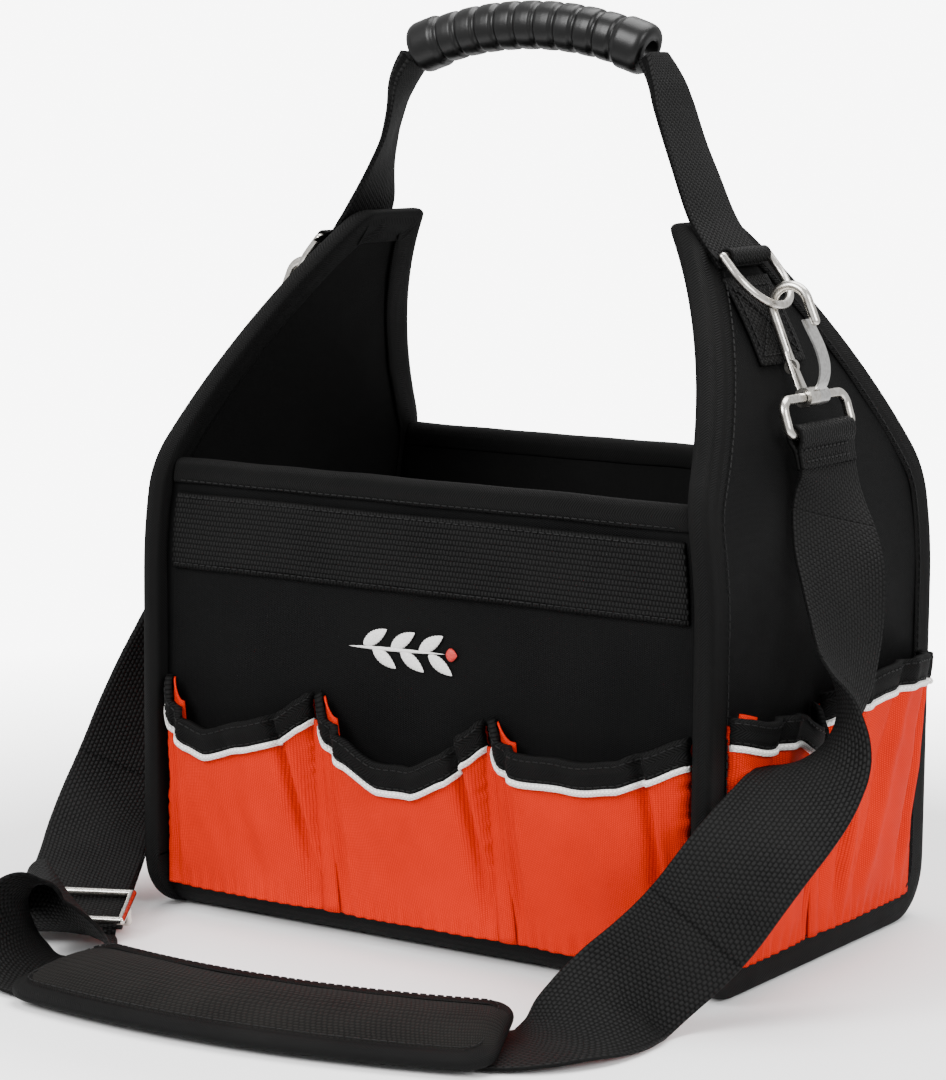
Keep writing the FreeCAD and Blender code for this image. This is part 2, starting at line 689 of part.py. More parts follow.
both_sides("d_ring", d_ring(), hung(BAR, RING_SLOPE))
both_sides("snap_hook", snap_hook(), hung(BOW, HOOK_SLOPE))
both_sides("hook_gate", spring_gate(), hung(BOW, HOOK_SLOPE))
both_sides("strap_loop", rectangular_loop(), hung(LOOP, LOOP_SLOPE))
END_LENGTH = 15
both_sides("strap_end", folded_end(loop_wire, END_LENGTH, size("strap_width"), size("strap_thickness")),
           hung(FOLD, 13))

# Handle webbing sewn down the outer face, and the webbing tunnel that holds the ring's bar.
ANCHOR_LOW, ANCHOR_HIGH = 266, 303


def ring_tab():
    """Webbing that follows the curve of the end panel, and the tunnel above it."""
    def at(radius, height):
        turn = math.asin((height - LEAN_CENTRE.z) / LEAN_RADIUS)
        return LEAN_CENTRE + Vector(math.cos(turn), 0, math.sin(turn)) * radius

    inside, outside = LEAN_RADIUS, LEAN_RADIUS + patch
    middle = (ANCHOR_LOW + ANCHOR_HIGH) / 2
    face = Part.Face(Part.Wire([
        Part.Arc(at(inside, ANCHOR_LOW), at(inside, middle), at(inside, ANCHOR_HIGH)).toShape(),
        Part.makeLine(at(inside, ANCHOR_HIGH), at(outside, ANCHOR_HIGH)),
        Part.Arc(at(outside, ANCHOR_HIGH), at(outside, middle), at(outside, ANCHOR_LOW)).toShape(),
        Part.makeLine(at(outside, ANCHOR_LOW), at(inside, ANCHOR_LOW))]))
    face.translate(Vector(0, HY - carry / 2, 0))
    tunnel = tube(Vector(), ring_wire + gap + 1.2, ring_wire + gap, 3 - carry / 2, carry / 2 - 3)
    tunnel.Placement = hung(BAR, 0)
    return group([face.extrude(Vector(0, carry, 0)), tunnel])


both_sides("ring_tab", ring_tab(), Placement())

# Carrying handle ----------------------------------------------------------------------------------
GRIP_X = -4
GRIP_HALF, GRIP_RISE, GRIP_Z = size("grip_half_length"), size("grip_rise"), size("grip_height")
GRIP_ARC = (GRIP_HALF ** 2 + GRIP_RISE ** 2) / (2 * GRIP_RISE)
GRIP_TURN = math.degrees(math.asin(GRIP_HALF / GRIP_ARC))
COLLAR_TURN, RIB_COUNT = 5.0, 9


def grip():
    """Moulded arched grip: a core, two smooth collars and ribs between them, round a webbing channel."""
    centre = Vector(GRIP_X, HY, GRIP_Z + GRIP_RISE - GRIP_ARC)

    def ring(radius, start, end):
        piece = Part.makeTorus(GRIP_ARC, radius, Vector(), Z, 0, 360, end - start)
        piece.rotate(Vector(), Z, start)
        piece.rotate(Vector(), X, 90)
        piece.translate(centre)
        return piece

    low, high = 90 - GRIP_TURN, 90 + GRIP_TURN
    shape = ring(size("grip_radius"), low, high)
    collars = [ring(size("grip_collar_radius"), low, low + COLLAR_TURN),
               ring(size("grip_collar_radius"), high - COLLAR_TURN, high)]
    pitch = (high - low - 2 * COLLAR_TURN) / RIB_COUNT
    ribs = []
    for index in range(RIB_COUNT):
        start = low + COLLAR_TURN + pitch * index
        ribs.append(ring(size("grip_radius") + 1.4, start + 0.15 * pitch, start + 0.85 * pitch))
    return shape.fuse(collars + ribs).cut(ring(5, low - 1, high + 1))


feature("handle_grip", grip())


def across_panel(height, above):
    """Coordinates of a webbing station over the right end panel."""
    point = on_panel(height, above)
    return (point.x, HY, point.z)


LEG_ON_PANEL = [(across_panel(height, 2.62), across_at(90)) for height in (305.5, 312, 318)]
RIGHT_LEG = [((90.5, HY, 329), across_at(90)), ((83.5, HY, 345), across_at(92)),
             ((76.5, HY, 361), across_at(94), 0.96, 1.1), ((71, HY, 376), across_at(92), 0.86, 1.4),
             ((66, HY, 389), across_at(90), 0.62, 2.2), ((59.5, HY, 397.5), across_at(90), 0.42, 3.4)]
LEFT_LEG = [((-92, HY, 329.5), across_at(95)), ((-88, HY, 345), across_at(108)),
            ((-82, HY, 361), across_at(117), 0.96, 1.1), ((-77.5, HY, 376), across_at(114), 0.86, 1.4),
            ((-73.5, HY, 389), across_at(100), 0.62, 2.2), ((-67.5, HY, 397.5), across_at(90), 0.42, 3.4)]
left_start = [((-c[0], c[1], c[2]), w) for c, w in LEG_ON_PANEL]
feature("handle_leg_right", ribbon(LEG_ON_PANEL + RIGHT_LEG, 2, carry))
feature("handle_leg_left", ribbon(left_start + LEFT_LEG, 2, carry))

# Shoulder strap -----------------------------------------------------------------------------------
# One length of webbing from the right loop over the floor to the left loop. Each station is its
# middle and its direction across. It is one band cut into pieces where it crosses a joint, and a
# second layer lies outside it from the slider to the left loop.
STRAP_END = FOLD + down(13) * END_LENGTH
LEAD = STRAP_END + down(13) * 7
LAYER = 1.75
DOUBLED_ROOM = 0.9
SLIDER_AT = Vector(-152.7, -156.5, 10)
SLIDER_ACROSS, SLIDER_ALONG = Vector(-0.9, -0.44, 0), Vector(-0.42, 0.86, 0.29)


def by_slider(along, drop=0.0):
    """A station of the straight webbing at the slider, so far along it from the slider's middle."""
    normal = SLIDER_ALONG.cross(SLIDER_ACROSS).normalize()
    point = SLIDER_AT + SLIDER_ALONG * along - normal * drop
    return (tuple(point), tuple(SLIDER_ACROSS))


RIGHT_DROP = [
    (tuple(STRAP_END), across_at(90)), (tuple(LEAD), across_at(90)),
    ((157, -9, 201), across_at(76)),
    ((165, -17, 184), across_at(70)), ((173, -26, 160), across_at(80)), ((179, -36, 136), across_at(94)),
    ((184, -53, 114), across_at(123)), ((186, -92, 93), (-0.75, 0.35, 0.55)),
    ((177, -119, 71), (-0.8, -0.05, 0.65)), ((161, -129, 43), (-0.72, -0.3, 0.63)),
]
ON_FLOOR = [
    ((142, -144, 21), (-0.66, -0.44, 0.6)), ((138, -169, 12.5), (-0.85, -0.4, 0.22)),
    ((131, -191, 5), (-0.7, 0.6, 0.08)), ((116, -206, 1.9), (-0.3, 0.95, 0)),
    ((60, -224, 1.9), (-0.2, 0.98, 0)), ((5, -232, 1.9), (-0.06, 1, 0)), ((-50, -233, 1.9), (0.04, 1, 0)),
    ((-104, -229, 1.9), across_at(87)),
]
CURL = [
    ((-121, -227, 4.5), across_at(88)), ((-133, -224, 13), across_at(92)), ((-140, -216, 27), across_at(98)),
    ((-139, -208, 41), across_at(108)), ((-134, -202, 49), across_at(125)),
    ((-131, -197, 42), across_at(145)), ((-132, -193, 27), across_at(175)),
    ((-135, -190, 13), across_at(195)), ((-139, -184, 5), across_at(206)),
]
LEFT_RISE = [
    by_slider(-18), by_slider(48), ((-186, -93, 34), across_at(212)), ((-187, -72, 55), across_at(223)),
    ((-186, -55, 82), across_at(235)), ((-182, -38, 112), across_at(246)), ((-176, -26, 140), across_at(256)),
    ((-166, -15, 172), across_at(264)), ((-157, -7, 200), across_at(270)),
    ((DOUBLED_ROOM - LEAD.x, HY, LEAD.z), across_at(270)),
    ((DOUBLED_ROOM - STRAP_END.x, HY, STRAP_END.z), across_at(270)),
]
ROUTE = RIGHT_DROP + ON_FLOOR + CURL + LEFT_RISE
LAST = len(ROUTE) - 1
RIGHT_NECK, RIGHT_HOOK, RIGHT_RING = 2, 5, 9
RISE_FROM, LEFT_RING, LEFT_HOOK = LAST - 7, LAST - 4, LAST - 2
SECOND_FROM = LAST - 9


def second_layer(first):
    """The doubled webbing outside the strap, from a station of the route to its left end."""
    centres = [Vector(*station[0]) for station in ROUTE]
    shifted = []
    for index in range(first, len(ROUTE)):
        ahead = centres[min(index + 1, len(centres) - 1)] - centres[index - 1]
        normal = ahead.cross(Vector(*ROUTE[index][1])).normalize()
        shifted.append((tuple(centres[index] - normal * LAYER), ROUTE[index][1]))
    return shifted


SECOND = [by_slider(15.6, 5), by_slider(32, 2.6)] + second_layer(SECOND_FROM)
strap_width, strap_thickness = size("strap_width"), size("strap_thickness")
PIECE_GAP = 0.4


def webbing(stations, first, last):
    """Strap webbing between two stations."""
    return ribbon(stations, strap_thickness, strap_width, first, last, PIECE_GAP)


feature("strap_neck_right", webbing(ROUTE, 0, RIGHT_NECK))
feature("strap_drop_right", webbing(ROUTE, RIGHT_NECK, RIGHT_HOOK))
feature("strap_turn_right", webbing(ROUTE, RIGHT_HOOK, RIGHT_RING))
feature("strap_floor_run", webbing(ROUTE, RIGHT_RING, RISE_FROM))
feature("strap_rise_left", group([webbing(ROUTE, RISE_FROM, LEFT_RING), webbing(SECOND, 4, 7)]))
feature("strap_drop_left", group([webbing(ROUTE, LEFT_RING, LEFT_HOOK), webbing(SECOND, 7, 9)]))
feature("strap_neck_left", group([webbing(ROUTE, LEFT_HOOK, LAST), webbing(SECOND, 9, 11)]))
feature("strap_return_run", webbing(SECOND, 0, 4))

# Slider: two outer bars over the webbing and a cranked middle bar under it, which carries its end.
SLIDER_WIRE, OUTER_BAR_Y = 1.8, 12
BAR_LIFT = strap_thickness / 2 + gap + SLIDER_WIRE
MIDDLE_DROP = strap_thickness / 2 + gap + SLIDER_WIRE + gap + strap_thickness + 0.2


def slider():
    """Wire frame of the strap slider with the webbing end folded round its middle bar."""
    half = size("slider_half_width")
    corners = [Vector(-half, -OUTER_BAR_Y, BAR_LIFT), Vector(half, -OUTER_BAR_Y, BAR_LIFT),
               Vector(half, OUTER_BAR_Y, BAR_LIFT), Vector(-half, OUTER_BAR_Y, BAR_LIFT)]
    pieces = [rod(a, b, SLIDER_WIRE) for a, b in zip(corners, corners[1:] + corners[:1])]
    pieces += [Part.makeSphere(SLIDER_WIRE, corner) for corner in corners]
    for sign in (-1, 1):
        side, low = Vector(sign * half, 0, BAR_LIFT), Vector(sign * half, 0, -MIDDLE_DROP)
        pieces += [rod(side, low, SLIDER_WIRE), Part.makeSphere(SLIDER_WIRE, low)]
    pieces.append(rod(Vector(-half, 0, -MIDDLE_DROP), Vector(half, 0, -MIDDLE_DROP), SLIDER_WIRE))
    frame = pieces[0].fuse(pieces[1:]).removeSplitter()
    fold = folded_end(SLIDER_WIRE, 15, strap_width, strap_thickness)
    fold.rotate(Vector(), Z, -90)
    fold.rotate(Vector(), X, 90)
    fold.translate(Vector(0, 0, -MIDDLE_DROP))
    return frame, fold


across = SLIDER_ACROSS.negative().normalize()
along = SLIDER_ALONG.normalize()
slider_place = Placement(SLIDER_AT, Rotation(across, along, across.cross(along), "XYZ"))
frame, fold = slider()
feature("strap_slider", frame, slider_place)
feature("slider_fold", fold, slider_place)

# Shoulder pad -------------------------------------------------------------------------------------
PAD_START, PAD_MIDDLE, PAD_END = Vector(-104, -229, 0), Vector(5, -234.5, 0), Vector(113, -207, 0)
PAD_LOW, PAD_CORNER, RIM = 3.4, 12, 1.4
pad_circle = Part.Arc(PAD_START, PAD_MIDDLE, PAD_END).toShape().Curve.Center


def pad_outline(grow):
    """Plan outline of the pad: two long arcs and two straight ends."""
    half = size("pad_width") / 2 + grow

    def at(point, offset, slide):
        out = (point - pad_circle).normalize()
        return point + out * offset + out.cross(Z) * slide

    near = [at(PAD_START, half, grow), at(PAD_MIDDLE, half, 0), at(PAD_END, half, -grow)]
    far = [at(PAD_START, -half, grow), at(PAD_MIDDLE, -half, 0), at(PAD_END, -half, -grow)]
    return [Part.Arc(*near), Part.LineSegment(near[2], far[2]), Part.Arc(far[2], far[1], far[0]),
            Part.LineSegment(far[0], near[0])]


def pad_block(grow, low, high, corner):
    """The pad's outline as a block with rounded corners."""
    wire = Part.Wire(Part.__sortEdges__([g.toShape() for g in pad_outline(grow)]))
    block = Part.Face(wire).extrude(Vector(0, 0, high - low))
    block.translate(Vector(0, 0, low))
    upright = [edge for edge in block.Edges if abs(edge.tangentAt(edge.FirstParameter).z) > 0.9]
    return block.makeFillet(corner, upright)


PAD_HIGH = PAD_LOW + size("pad_thickness")
foam = pad_block(0, PAD_LOW, PAD_HIGH, PAD_CORNER)
rim_block = pad_block(RIM, PAD_LOW, PAD_HIGH + 0.9, PAD_CORNER + RIM)
feature("pad_body", foam)
feature("pad_binding", rim_block.cut(foam).cut(pad_block(-8, PAD_LOW - 1, PAD_HIGH + 5, 6)))

# Checks and export --------------------------------------------------------------------------------
doc.recompute()
for item in doc.Objects:
    if "Invalid" in item.State or "Error" in item.State:
        raise RuntimeError("%s did not compute" % item.Label)
os.makedirs("parts", exist_ok=True)
for item in subparts:
    if item.Shape.isNull() or not item.Shape.isValid() or not item.Shape.Solids:
        raise RuntimeError("%s has no valid shape" % item.Label)
    item.Shape.exportStep("parts/%s.step" % item.Label)


def run_length(stations):
    """Length of a band's middle line."""
    return sum((Vector(*b[0]) - Vector(*a[0])).Length for a, b in zip(stations, stations[1:]))


print("strap from loop to loop: %.0f mm, doubled end: %.0f mm" % (run_length(ROUTE), run_length(SECOND)))
print("%d sub-parts" % len(subparts))
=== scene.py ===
import logging
import math
from bisect import bisect_right
from collections.abc import Callable, Sequence
from dataclasses import dataclass, field
from enum import Enum
from typing import NamedTuple

import bmesh
import bpy
from mathutils import Matrix, Vector, noise


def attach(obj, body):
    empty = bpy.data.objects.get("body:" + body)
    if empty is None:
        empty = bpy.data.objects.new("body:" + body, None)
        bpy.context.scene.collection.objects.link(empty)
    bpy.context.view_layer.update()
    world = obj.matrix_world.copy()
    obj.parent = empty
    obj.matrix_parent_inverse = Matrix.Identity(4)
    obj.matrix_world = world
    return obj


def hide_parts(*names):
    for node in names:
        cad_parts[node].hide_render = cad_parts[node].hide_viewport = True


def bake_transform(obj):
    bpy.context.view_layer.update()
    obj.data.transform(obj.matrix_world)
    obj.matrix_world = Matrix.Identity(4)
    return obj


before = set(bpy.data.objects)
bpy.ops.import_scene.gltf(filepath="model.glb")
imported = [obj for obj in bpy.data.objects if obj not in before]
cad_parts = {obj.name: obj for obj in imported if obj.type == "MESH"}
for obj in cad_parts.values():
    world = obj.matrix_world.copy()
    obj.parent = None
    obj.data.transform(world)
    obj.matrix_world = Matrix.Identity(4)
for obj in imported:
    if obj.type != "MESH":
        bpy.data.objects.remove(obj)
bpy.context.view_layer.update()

# Looks of the garden tool bag, in metres, in the row frame: +X right, +Y back, +Z up.

LOG = logging.getLogger("garden_tool_bag")

HALF_WIDTH = 0.150
HALF_DEPTH = 0.1025
WALL_Y = 0.0965
WALL_X = 0.1415
WALL_TOP = 0.212
END_TOP = 0.324
PANEL_DEPTH = 0.007
LEAN_START = 0.160
LEAN_RADIUS = 0.2541
HARDWARE_Y = -0.004
STRAP_WIDTH = 0.050
CARRY_WIDTH = 0.040
LEG_LIFT = 0.00262

# Shares of the curved and the straight line in a joined value, the longest straight run of an outline, and the
# distance at which two points of a mesh are one.
CURVED, STRAIGHT = 0.45, 0.55
RUN = 0.008
SAME_POINT = 1e-7

Piece = bpy.types.Object
Mesh = bmesh.types.BMesh
Finish = bpy.types.Material
Node = bpy.types.Node
Socket = bpy.types.NodeSocket
Point = tuple[float, float, float]
Place = Callable[[float, float], Vector]
Flat = Callable[[float, float], tuple[float, float]]


# Small sums ---------------------------------------------------------------------------------------
def smooth(value: float) -> float:
    """Smooth step of a value held between 0 and 1."""
    value = min(max(value, 0.0), 1.0)
    return value * value * (3.0 - 2.0 * value)


def between(pairs: Sequence[tuple[float, float]], at: float) -> float:
    """Value at a place along pairs of (place, value), joined by lines that are partly curved.

    Args:
        pairs: Places in rising order, each with its value.
        at: Where the value is wanted.

    Returns:
        The value there, held at the two ends.
    """
    if at <= pairs[0][0]:
        return pairs[0][1]
    for (start, low), (end, high) in zip(pairs, pairs[1:]):
        if at <= end:
            share = (at - start) / (end - start)
            return low + (high - low) * smooth(share) * CURVED + (high - low) * share * STRAIGHT
    return pairs[-1][1]


def rough(x: float, y: float, scale: float, seed: float = 0.0) -> float:
    """Smooth noise from -1 to 1 over a surface, with bumps about scale metres wide."""
    return noise.noise(Vector((x / scale, y / scale, seed * 7.31 + 0.37)))


def lean_x(height: float, above: float = 0.0) -> float:
    """X of the right end panel's outer face at a height, or so far above that face."""
    if height <= LEAN_START:
        return HALF_WIDTH + above
    rise = height - LEAN_START
    return HALF_WIDTH - LEAN_RADIUS + math.sqrt((LEAN_RADIUS + above) ** 2 - rise * rise)


def lean_normal(height: float) -> Vector:
    """Outward direction of the right end panel's face at a height."""
    rise = max(height - LEAN_START, 0.0) / LEAN_RADIUS
    return Vector((math.sqrt(1.0 - rise * rise), 0.0, rise))


def lean_length(height: float) -> float:
    """Length of cloth from the floor up to a height along the leaning face."""
    if height <= LEAN_START:
        return height
    return LEAN_START + LEAN_RADIUS * math.asin((height - LEAN_START) / LEAN_RADIUS)


def apart(before: Vector, after: Vector) -> float:
    """Distance between two points."""
    return (after - before).length


def length_of(points: Sequence[Vector]) -> float:
    """Length of a line of points."""
    return sum(apart(before, after) for before, after in zip(points, points[1:]))


def running(points: Sequence[Vector] | Sequence[tuple[float, float]],
            gap: Callable[..., float] = apart) -> list[float]:
    """Length of a line up to each of its points, each gap measured by a function."""
    lengths = [0.0]
    for before, after in zip(points, points[1:]):
        lengths.append(lengths[-1] + gap(before, after))
    return lengths


def rounded(corners: Sequence[tuple[float, float]], radii: Sequence[float], steps: int) -> list[Vector]:
    """Closed outline through corners that are rounded off.

    Args:
        corners: Corners in turn.
        radii: Radius at each corner.
        steps: Points along each rounded corner, less one.

    Returns:
        Points of the outline, with straight runs divided about every RUN metres.
    """
    count = len(corners)
    arcs: list[list[Vector]] = []
    for index, corner in enumerate(corners):
        here = Vector(corner)
        before = (Vector(corners[index - 1]) - here).normalized()
        after = (Vector(corners[(index + 1) % count]) - here).normalized()
        half = before.angle(after) / 2
        centre = here + (before + after).normalized() * (radii[index] / math.sin(half))
        start = here + before * (radii[index] / math.tan(half)) - centre
        end = here + after * (radii[index] / math.tan(half)) - centre
        arcs.append([centre + start.slerp(end, step / steps).normalized() * radii[index]
                     for step in range(steps + 1)])
    outline: list[Vector] = []
    for index, points in enumerate(arcs):
        outline += points
        ahead = arcs[(index + 1) % count][0]
        run = (ahead - points[-1]).length
        parts = max(int(run / RUN), 1)
        outline += [points[-1].lerp(ahead, part / parts) for part in range(1, parts)]
    return outline


# Mesh making --------------------------------------------------------------------------------------
class Cells(NamedTuple):
    """Number of faces of a sheet across and along."""

    across: int
    along: int


def lay(bm: Mesh, cells: Cells, flat: tuple[float, float], place: Place,
        facing: Vector | None = None, mapped: Flat | None = None) -> None:
    """Lay a grid of cloth over a surface.

    Args:
        bm: Mesh that takes the grid.
        cells: Faces across and along.
        flat: Width and length of the flat cloth, for its weave.
        place: Point of the surface at shares across and along, each from 0 to 1.
        facing: Direction the middle of the outer side faces.
        mapped: Flat place of the cloth at those shares, where it isn't a plain rectangle.
    """
    layer = bm.loops.layers.uv.verify()
    made = bmesh.ops.create_grid(bm, x_segments=cells.across, y_segments=cells.along, size=1.0)["verts"]
    faces = {face for vert in made for face in vert.link_faces}
    shares = {vert: ((vert.co.x + 1.0) / 2.0, (vert.co.y + 1.0) / 2.0) for vert in made}
    for face in faces:
        for loop in face.loops:
            across, along = shares[loop.vert]
            loop[layer].uv = mapped(across, along) if mapped else (across * flat[0], along * flat[1])
        face.smooth = True
    for vert, (across, along) in shares.items():
        vert.co = place(across, along)
    if facing is None:
        return
    total = Vector()
    for face in faces:
        face.normal_update()
        share = [shares[vert] for vert in face.verts]
        middle = sum(abs(pair[0] - 0.5) + abs(pair[1] - 0.5) for pair in share) / len(share)
        if middle < 0.25:
            total += face.normal * face.calc_area()
    if total.dot(facing) < 0:
        bmesh.ops.reverse_faces(bm, faces=list(faces))


def finished(name: str, bm: Mesh, material: Finish, thickness: float = 0.0,
             offset: float = -1.0, levels: int = 0, closed: bool = False) -> Piece:
    """Turn a mesh into a piece of the scene.

    Args:
        name: Name of the piece.
        bm: Its mesh, which is used up.
        material: Its finish.
        thickness: Thickness given to an open sheet.
        offset: Side of the sheet that the thickness goes to, from -1 to 1.
        levels: Levels of subdivision.
        closed: Whether the mesh is a closed body, whose normals are worked out again.

    Returns:
        The piece, at the origin.
    """
    if closed:
        bmesh.ops.remove_doubles(bm, verts=bm.verts, dist=1e-6)
        bmesh.ops.recalc_face_normals(bm, faces=bm.faces)
    mesh = bpy.data.meshes.new(name)
    bm.to_mesh(mesh)
    bm.free()
    mesh.materials.append(material)
    piece = bpy.data.objects.new(name, mesh)
    bpy.context.scene.collection.objects.link(piece)
    if thickness:
        solid = piece.modifiers.new("Thickness", "SOLIDIFY")
        solid.thickness = thickness
        solid.offset = offset
        solid.use_even_offset = True
    if levels:
        rounder = piece.modifiers.new("Rounding", "SUBSURF")
        rounder.levels = levels
        rounder.render_levels = levels
    return piece


class Station(NamedTuple):
    """A point of a path with the two directions of the section there."""

    centre: Vector
    side: Vector
    up: Vector


def sweep(bm: Mesh, path: Sequence[Station], section: Sequence[tuple[float, float]],
          closed_path: bool = False, closed_section: bool = True) -> None:
    """Sweep a section along a path.

    Args:
        bm: Mesh that takes the result.
        path: Stations of the path.
        section: Points of the section, as distances along each station's side and up.
        closed_path: Whether the path returns to its start.
        closed_section: Whether the section is a closed outline.
    """
    rings = [*path, path[0]] if closed_path else list(path)
    outline = [*section, section[0]] if closed_section else list(section)
    lengths, widths = running([ring.centre for ring in rings]), running(outline, math.dist)
    last_ring, last_point = len(rings) - 1, len(outline) - 1

    def place(across: float, along: float) -> Vector:
        """Point of the swept surface."""
        ring = rings[round(along * last_ring)]
        side, up = outline[round(across * last_point)]
        return ring.centre + ring.side * side + ring.up * up

    def mapped(across: float, along: float) -> tuple[float, float]:
        """Flat place of the surface, in metres."""
        return widths[round(across * last_point)], lengths[round(along * last_ring)]

    before = set(bm.verts)
    lay(bm, Cells(last_point, last_ring), (1.0, 1.0), place, None, mapped)
    made = [vert for vert in bm.verts if vert not in before]
    bmesh.ops.remove_doubles(bm, verts=made, dist=SAME_POINT)


def close_ends(bm: Mesh) -> None:
    """Fill the open ends of a swept body."""
    edges = [edge for edge in bm.edges if edge.is_boundary]
    bmesh.ops.holes_fill(bm, edges=edges, sides=0)


def superellipse(half_a: float, half_b: float, power: float, count: int) -> list[tuple[float, float]]:
    """Points of a rounded section with two half sizes."""
    points = []
    for index in range(count):
        turn = 2 * math.pi * index / count
        c, s = math.cos(turn), math.sin(turn)
        points.append((half_a * math.copysign(abs(c) ** (2 / power), c),
                       half_b * math.copysign(abs(s) ** (2 / power), s)))
    return points


def smooth_line(name: str, points: Sequence[Point], resolution: int) -> list[Vector]:
    """Points along the smooth line that a route's points steer.

    Args:
        name: Name of the line while it is worked out.
        points: The route's points.
        resolution: Points for each step of the route.

    Returns:
        Points evenly spaced in the line's own measure.
    """
    curve = bpy.data.curves.new(name, "CURVE")
    curve.dimensions = "3D"
    curve.resolution_u = resolution
    spline = curve.splines.new("NURBS")
    spline.points.add(len(points) - 1)
    for point, place in zip(spline.points, points):
        point.co = (*place, 1.0)
    spline.order_u = 3
    spline.use_endpoint_u = True
    holder = bpy.data.objects.new(name, curve)
    bpy.context.scene.collection.objects.link(holder)
    bpy.context.view_layer.update()
    mesh = bpy.data.meshes.new_from_object(holder)
    line = [vert.co.copy() for vert in mesh.vertices]
    bpy.data.objects.remove(holder)
    bpy.data.curves.remove(curve)
    bpy.data.meshes.remove(mesh)
    return line


# Shader groups ------------------------------------------------------------------------------------
class Wiring:
    """Short ways to add and join nodes in a node tree."""

    def __init__(self, tree: bpy.types.NodeTree) -> None:
        """Start wiring a tree."""
        self.tree = tree

    def add(self, kind: str, **values: object) -> Node:
        """Add a node and set its properties."""
        node = self.tree.nodes.new(kind)
        for key, value in values.items():
            setattr(node, key, value)
        return node

    def join(self, source: Socket, target: Socket) -> None:
        """Join two sockets."""
        self.tree.links.new(source, target)

    def feed(self, target: Socket, value: object) -> None:
        """Join a socket to a socket, or set it to a number."""
        if isinstance(value, bpy.types.NodeSocket):
            self.join(value, target)
        else:
            target.default_value = value

    def put(self, node: Node, values: dict[str, object]) -> None:
        """Feed a node's named inputs with numbers or sockets."""
        for name, value in values.items():
            self.feed(node.inputs[name], value)

    def math(self, operation: str, first: object, second: object = 0.0, third: object = 0.0) -> Socket:
        """Result of a sum on one to three numbers or sockets."""
        node = self.add("ShaderNodeMath", operation=operation)
        for target, value in zip(node.inputs, (first, second, third)):
            self.feed(target, value)
        return node.outputs[0]

    def blend(self, share: object, low: object, high: object) -> Socket:
        """Colour between two colours."""
        node = self.add("ShaderNodeMix", data_type="RGBA")
        self.feed(node.inputs[0], share)
        self.feed(node.inputs[6], low)
        self.feed(node.inputs[7], high)
        return node.outputs[2]

    def ramp(self, value: object, low: float, high: float, start: float = 0.0,
             end: float = 1.0) -> Socket:
        """A value stretched from one range to another and held inside it."""
        node = self.add("ShaderNodeMapRange", clamp=True)
        for target, number in zip(node.inputs, (value, low, high, start, end)):
            self.feed(target, number)
        return node.outputs[0]

    def cloud(self, vector: Socket, scale: float, detail: float = 3.0) -> Socket:
        """Soft noise with so many bumps to the metre."""
        node = self.add("ShaderNodeTexNoise")
        self.put(node, {"Vector": vector, "Scale": scale, "Detail": detail})
        return node.outputs["Fac"]


def new_material(name: str) -> tuple[Finish, Wiring]:
    """An empty material and its wiring."""
    made = bpy.data.materials.new(name)
    made.use_nodes = True
    made.node_tree.nodes.clear()
    return made, Wiring(made.node_tree)


def close_material(wiring: Wiring, shader: Node, height: Socket, strength: float,
                   relief: float) -> None:
    """Give a shader its bump and join it to the material's output.

    Args:
        wiring: The material's wiring.
        shader: Its shader.
        height: Height of the surface's detail.
        strength: Strength of the bump.
        relief: Depth of the detail in metres.
    """
    bump = wiring.add("ShaderNodeBump")
    wiring.put(bump, {"Strength": strength, "Distance": relief, "Height": height})
    wiring.join(bump.outputs["Normal"], shader.inputs["Normal"])
    wiring.join(shader.outputs[0], wiring.add("ShaderNodeOutputMaterial").inputs["Surface"])


def new_group(name: str, takes: Sequence[tuple[str, str, float]], gives: Sequence[tuple[str, str]]) \
        -> tuple[bpy.types.ShaderNodeTree, Wiring, Node, Node]:
    """Make an empty shader group.

    Args:
        name: Name of the group.
        takes: Name, kind and default of each input.
        gives: Name and kind of each output.

    Returns:
        The group, its wiring, its input node and its output node.
    """
    tree = bpy.data.node_groups.new(name, "ShaderNodeTree")
    for label, kind, default in takes:
        socket = tree.interface.new_socket(name=label, in_out="INPUT", socket_type=kind)
        if kind == "NodeSocketFloat":
            socket.default_value = default
    for label, kind in gives:
        tree.interface.new_socket(name=label, in_out="OUTPUT", socket_type=kind)
    wiring = Wiring(tree)
    return tree, wiring, wiring.add("NodeGroupInput"), wiring.add("NodeGroupOutput")


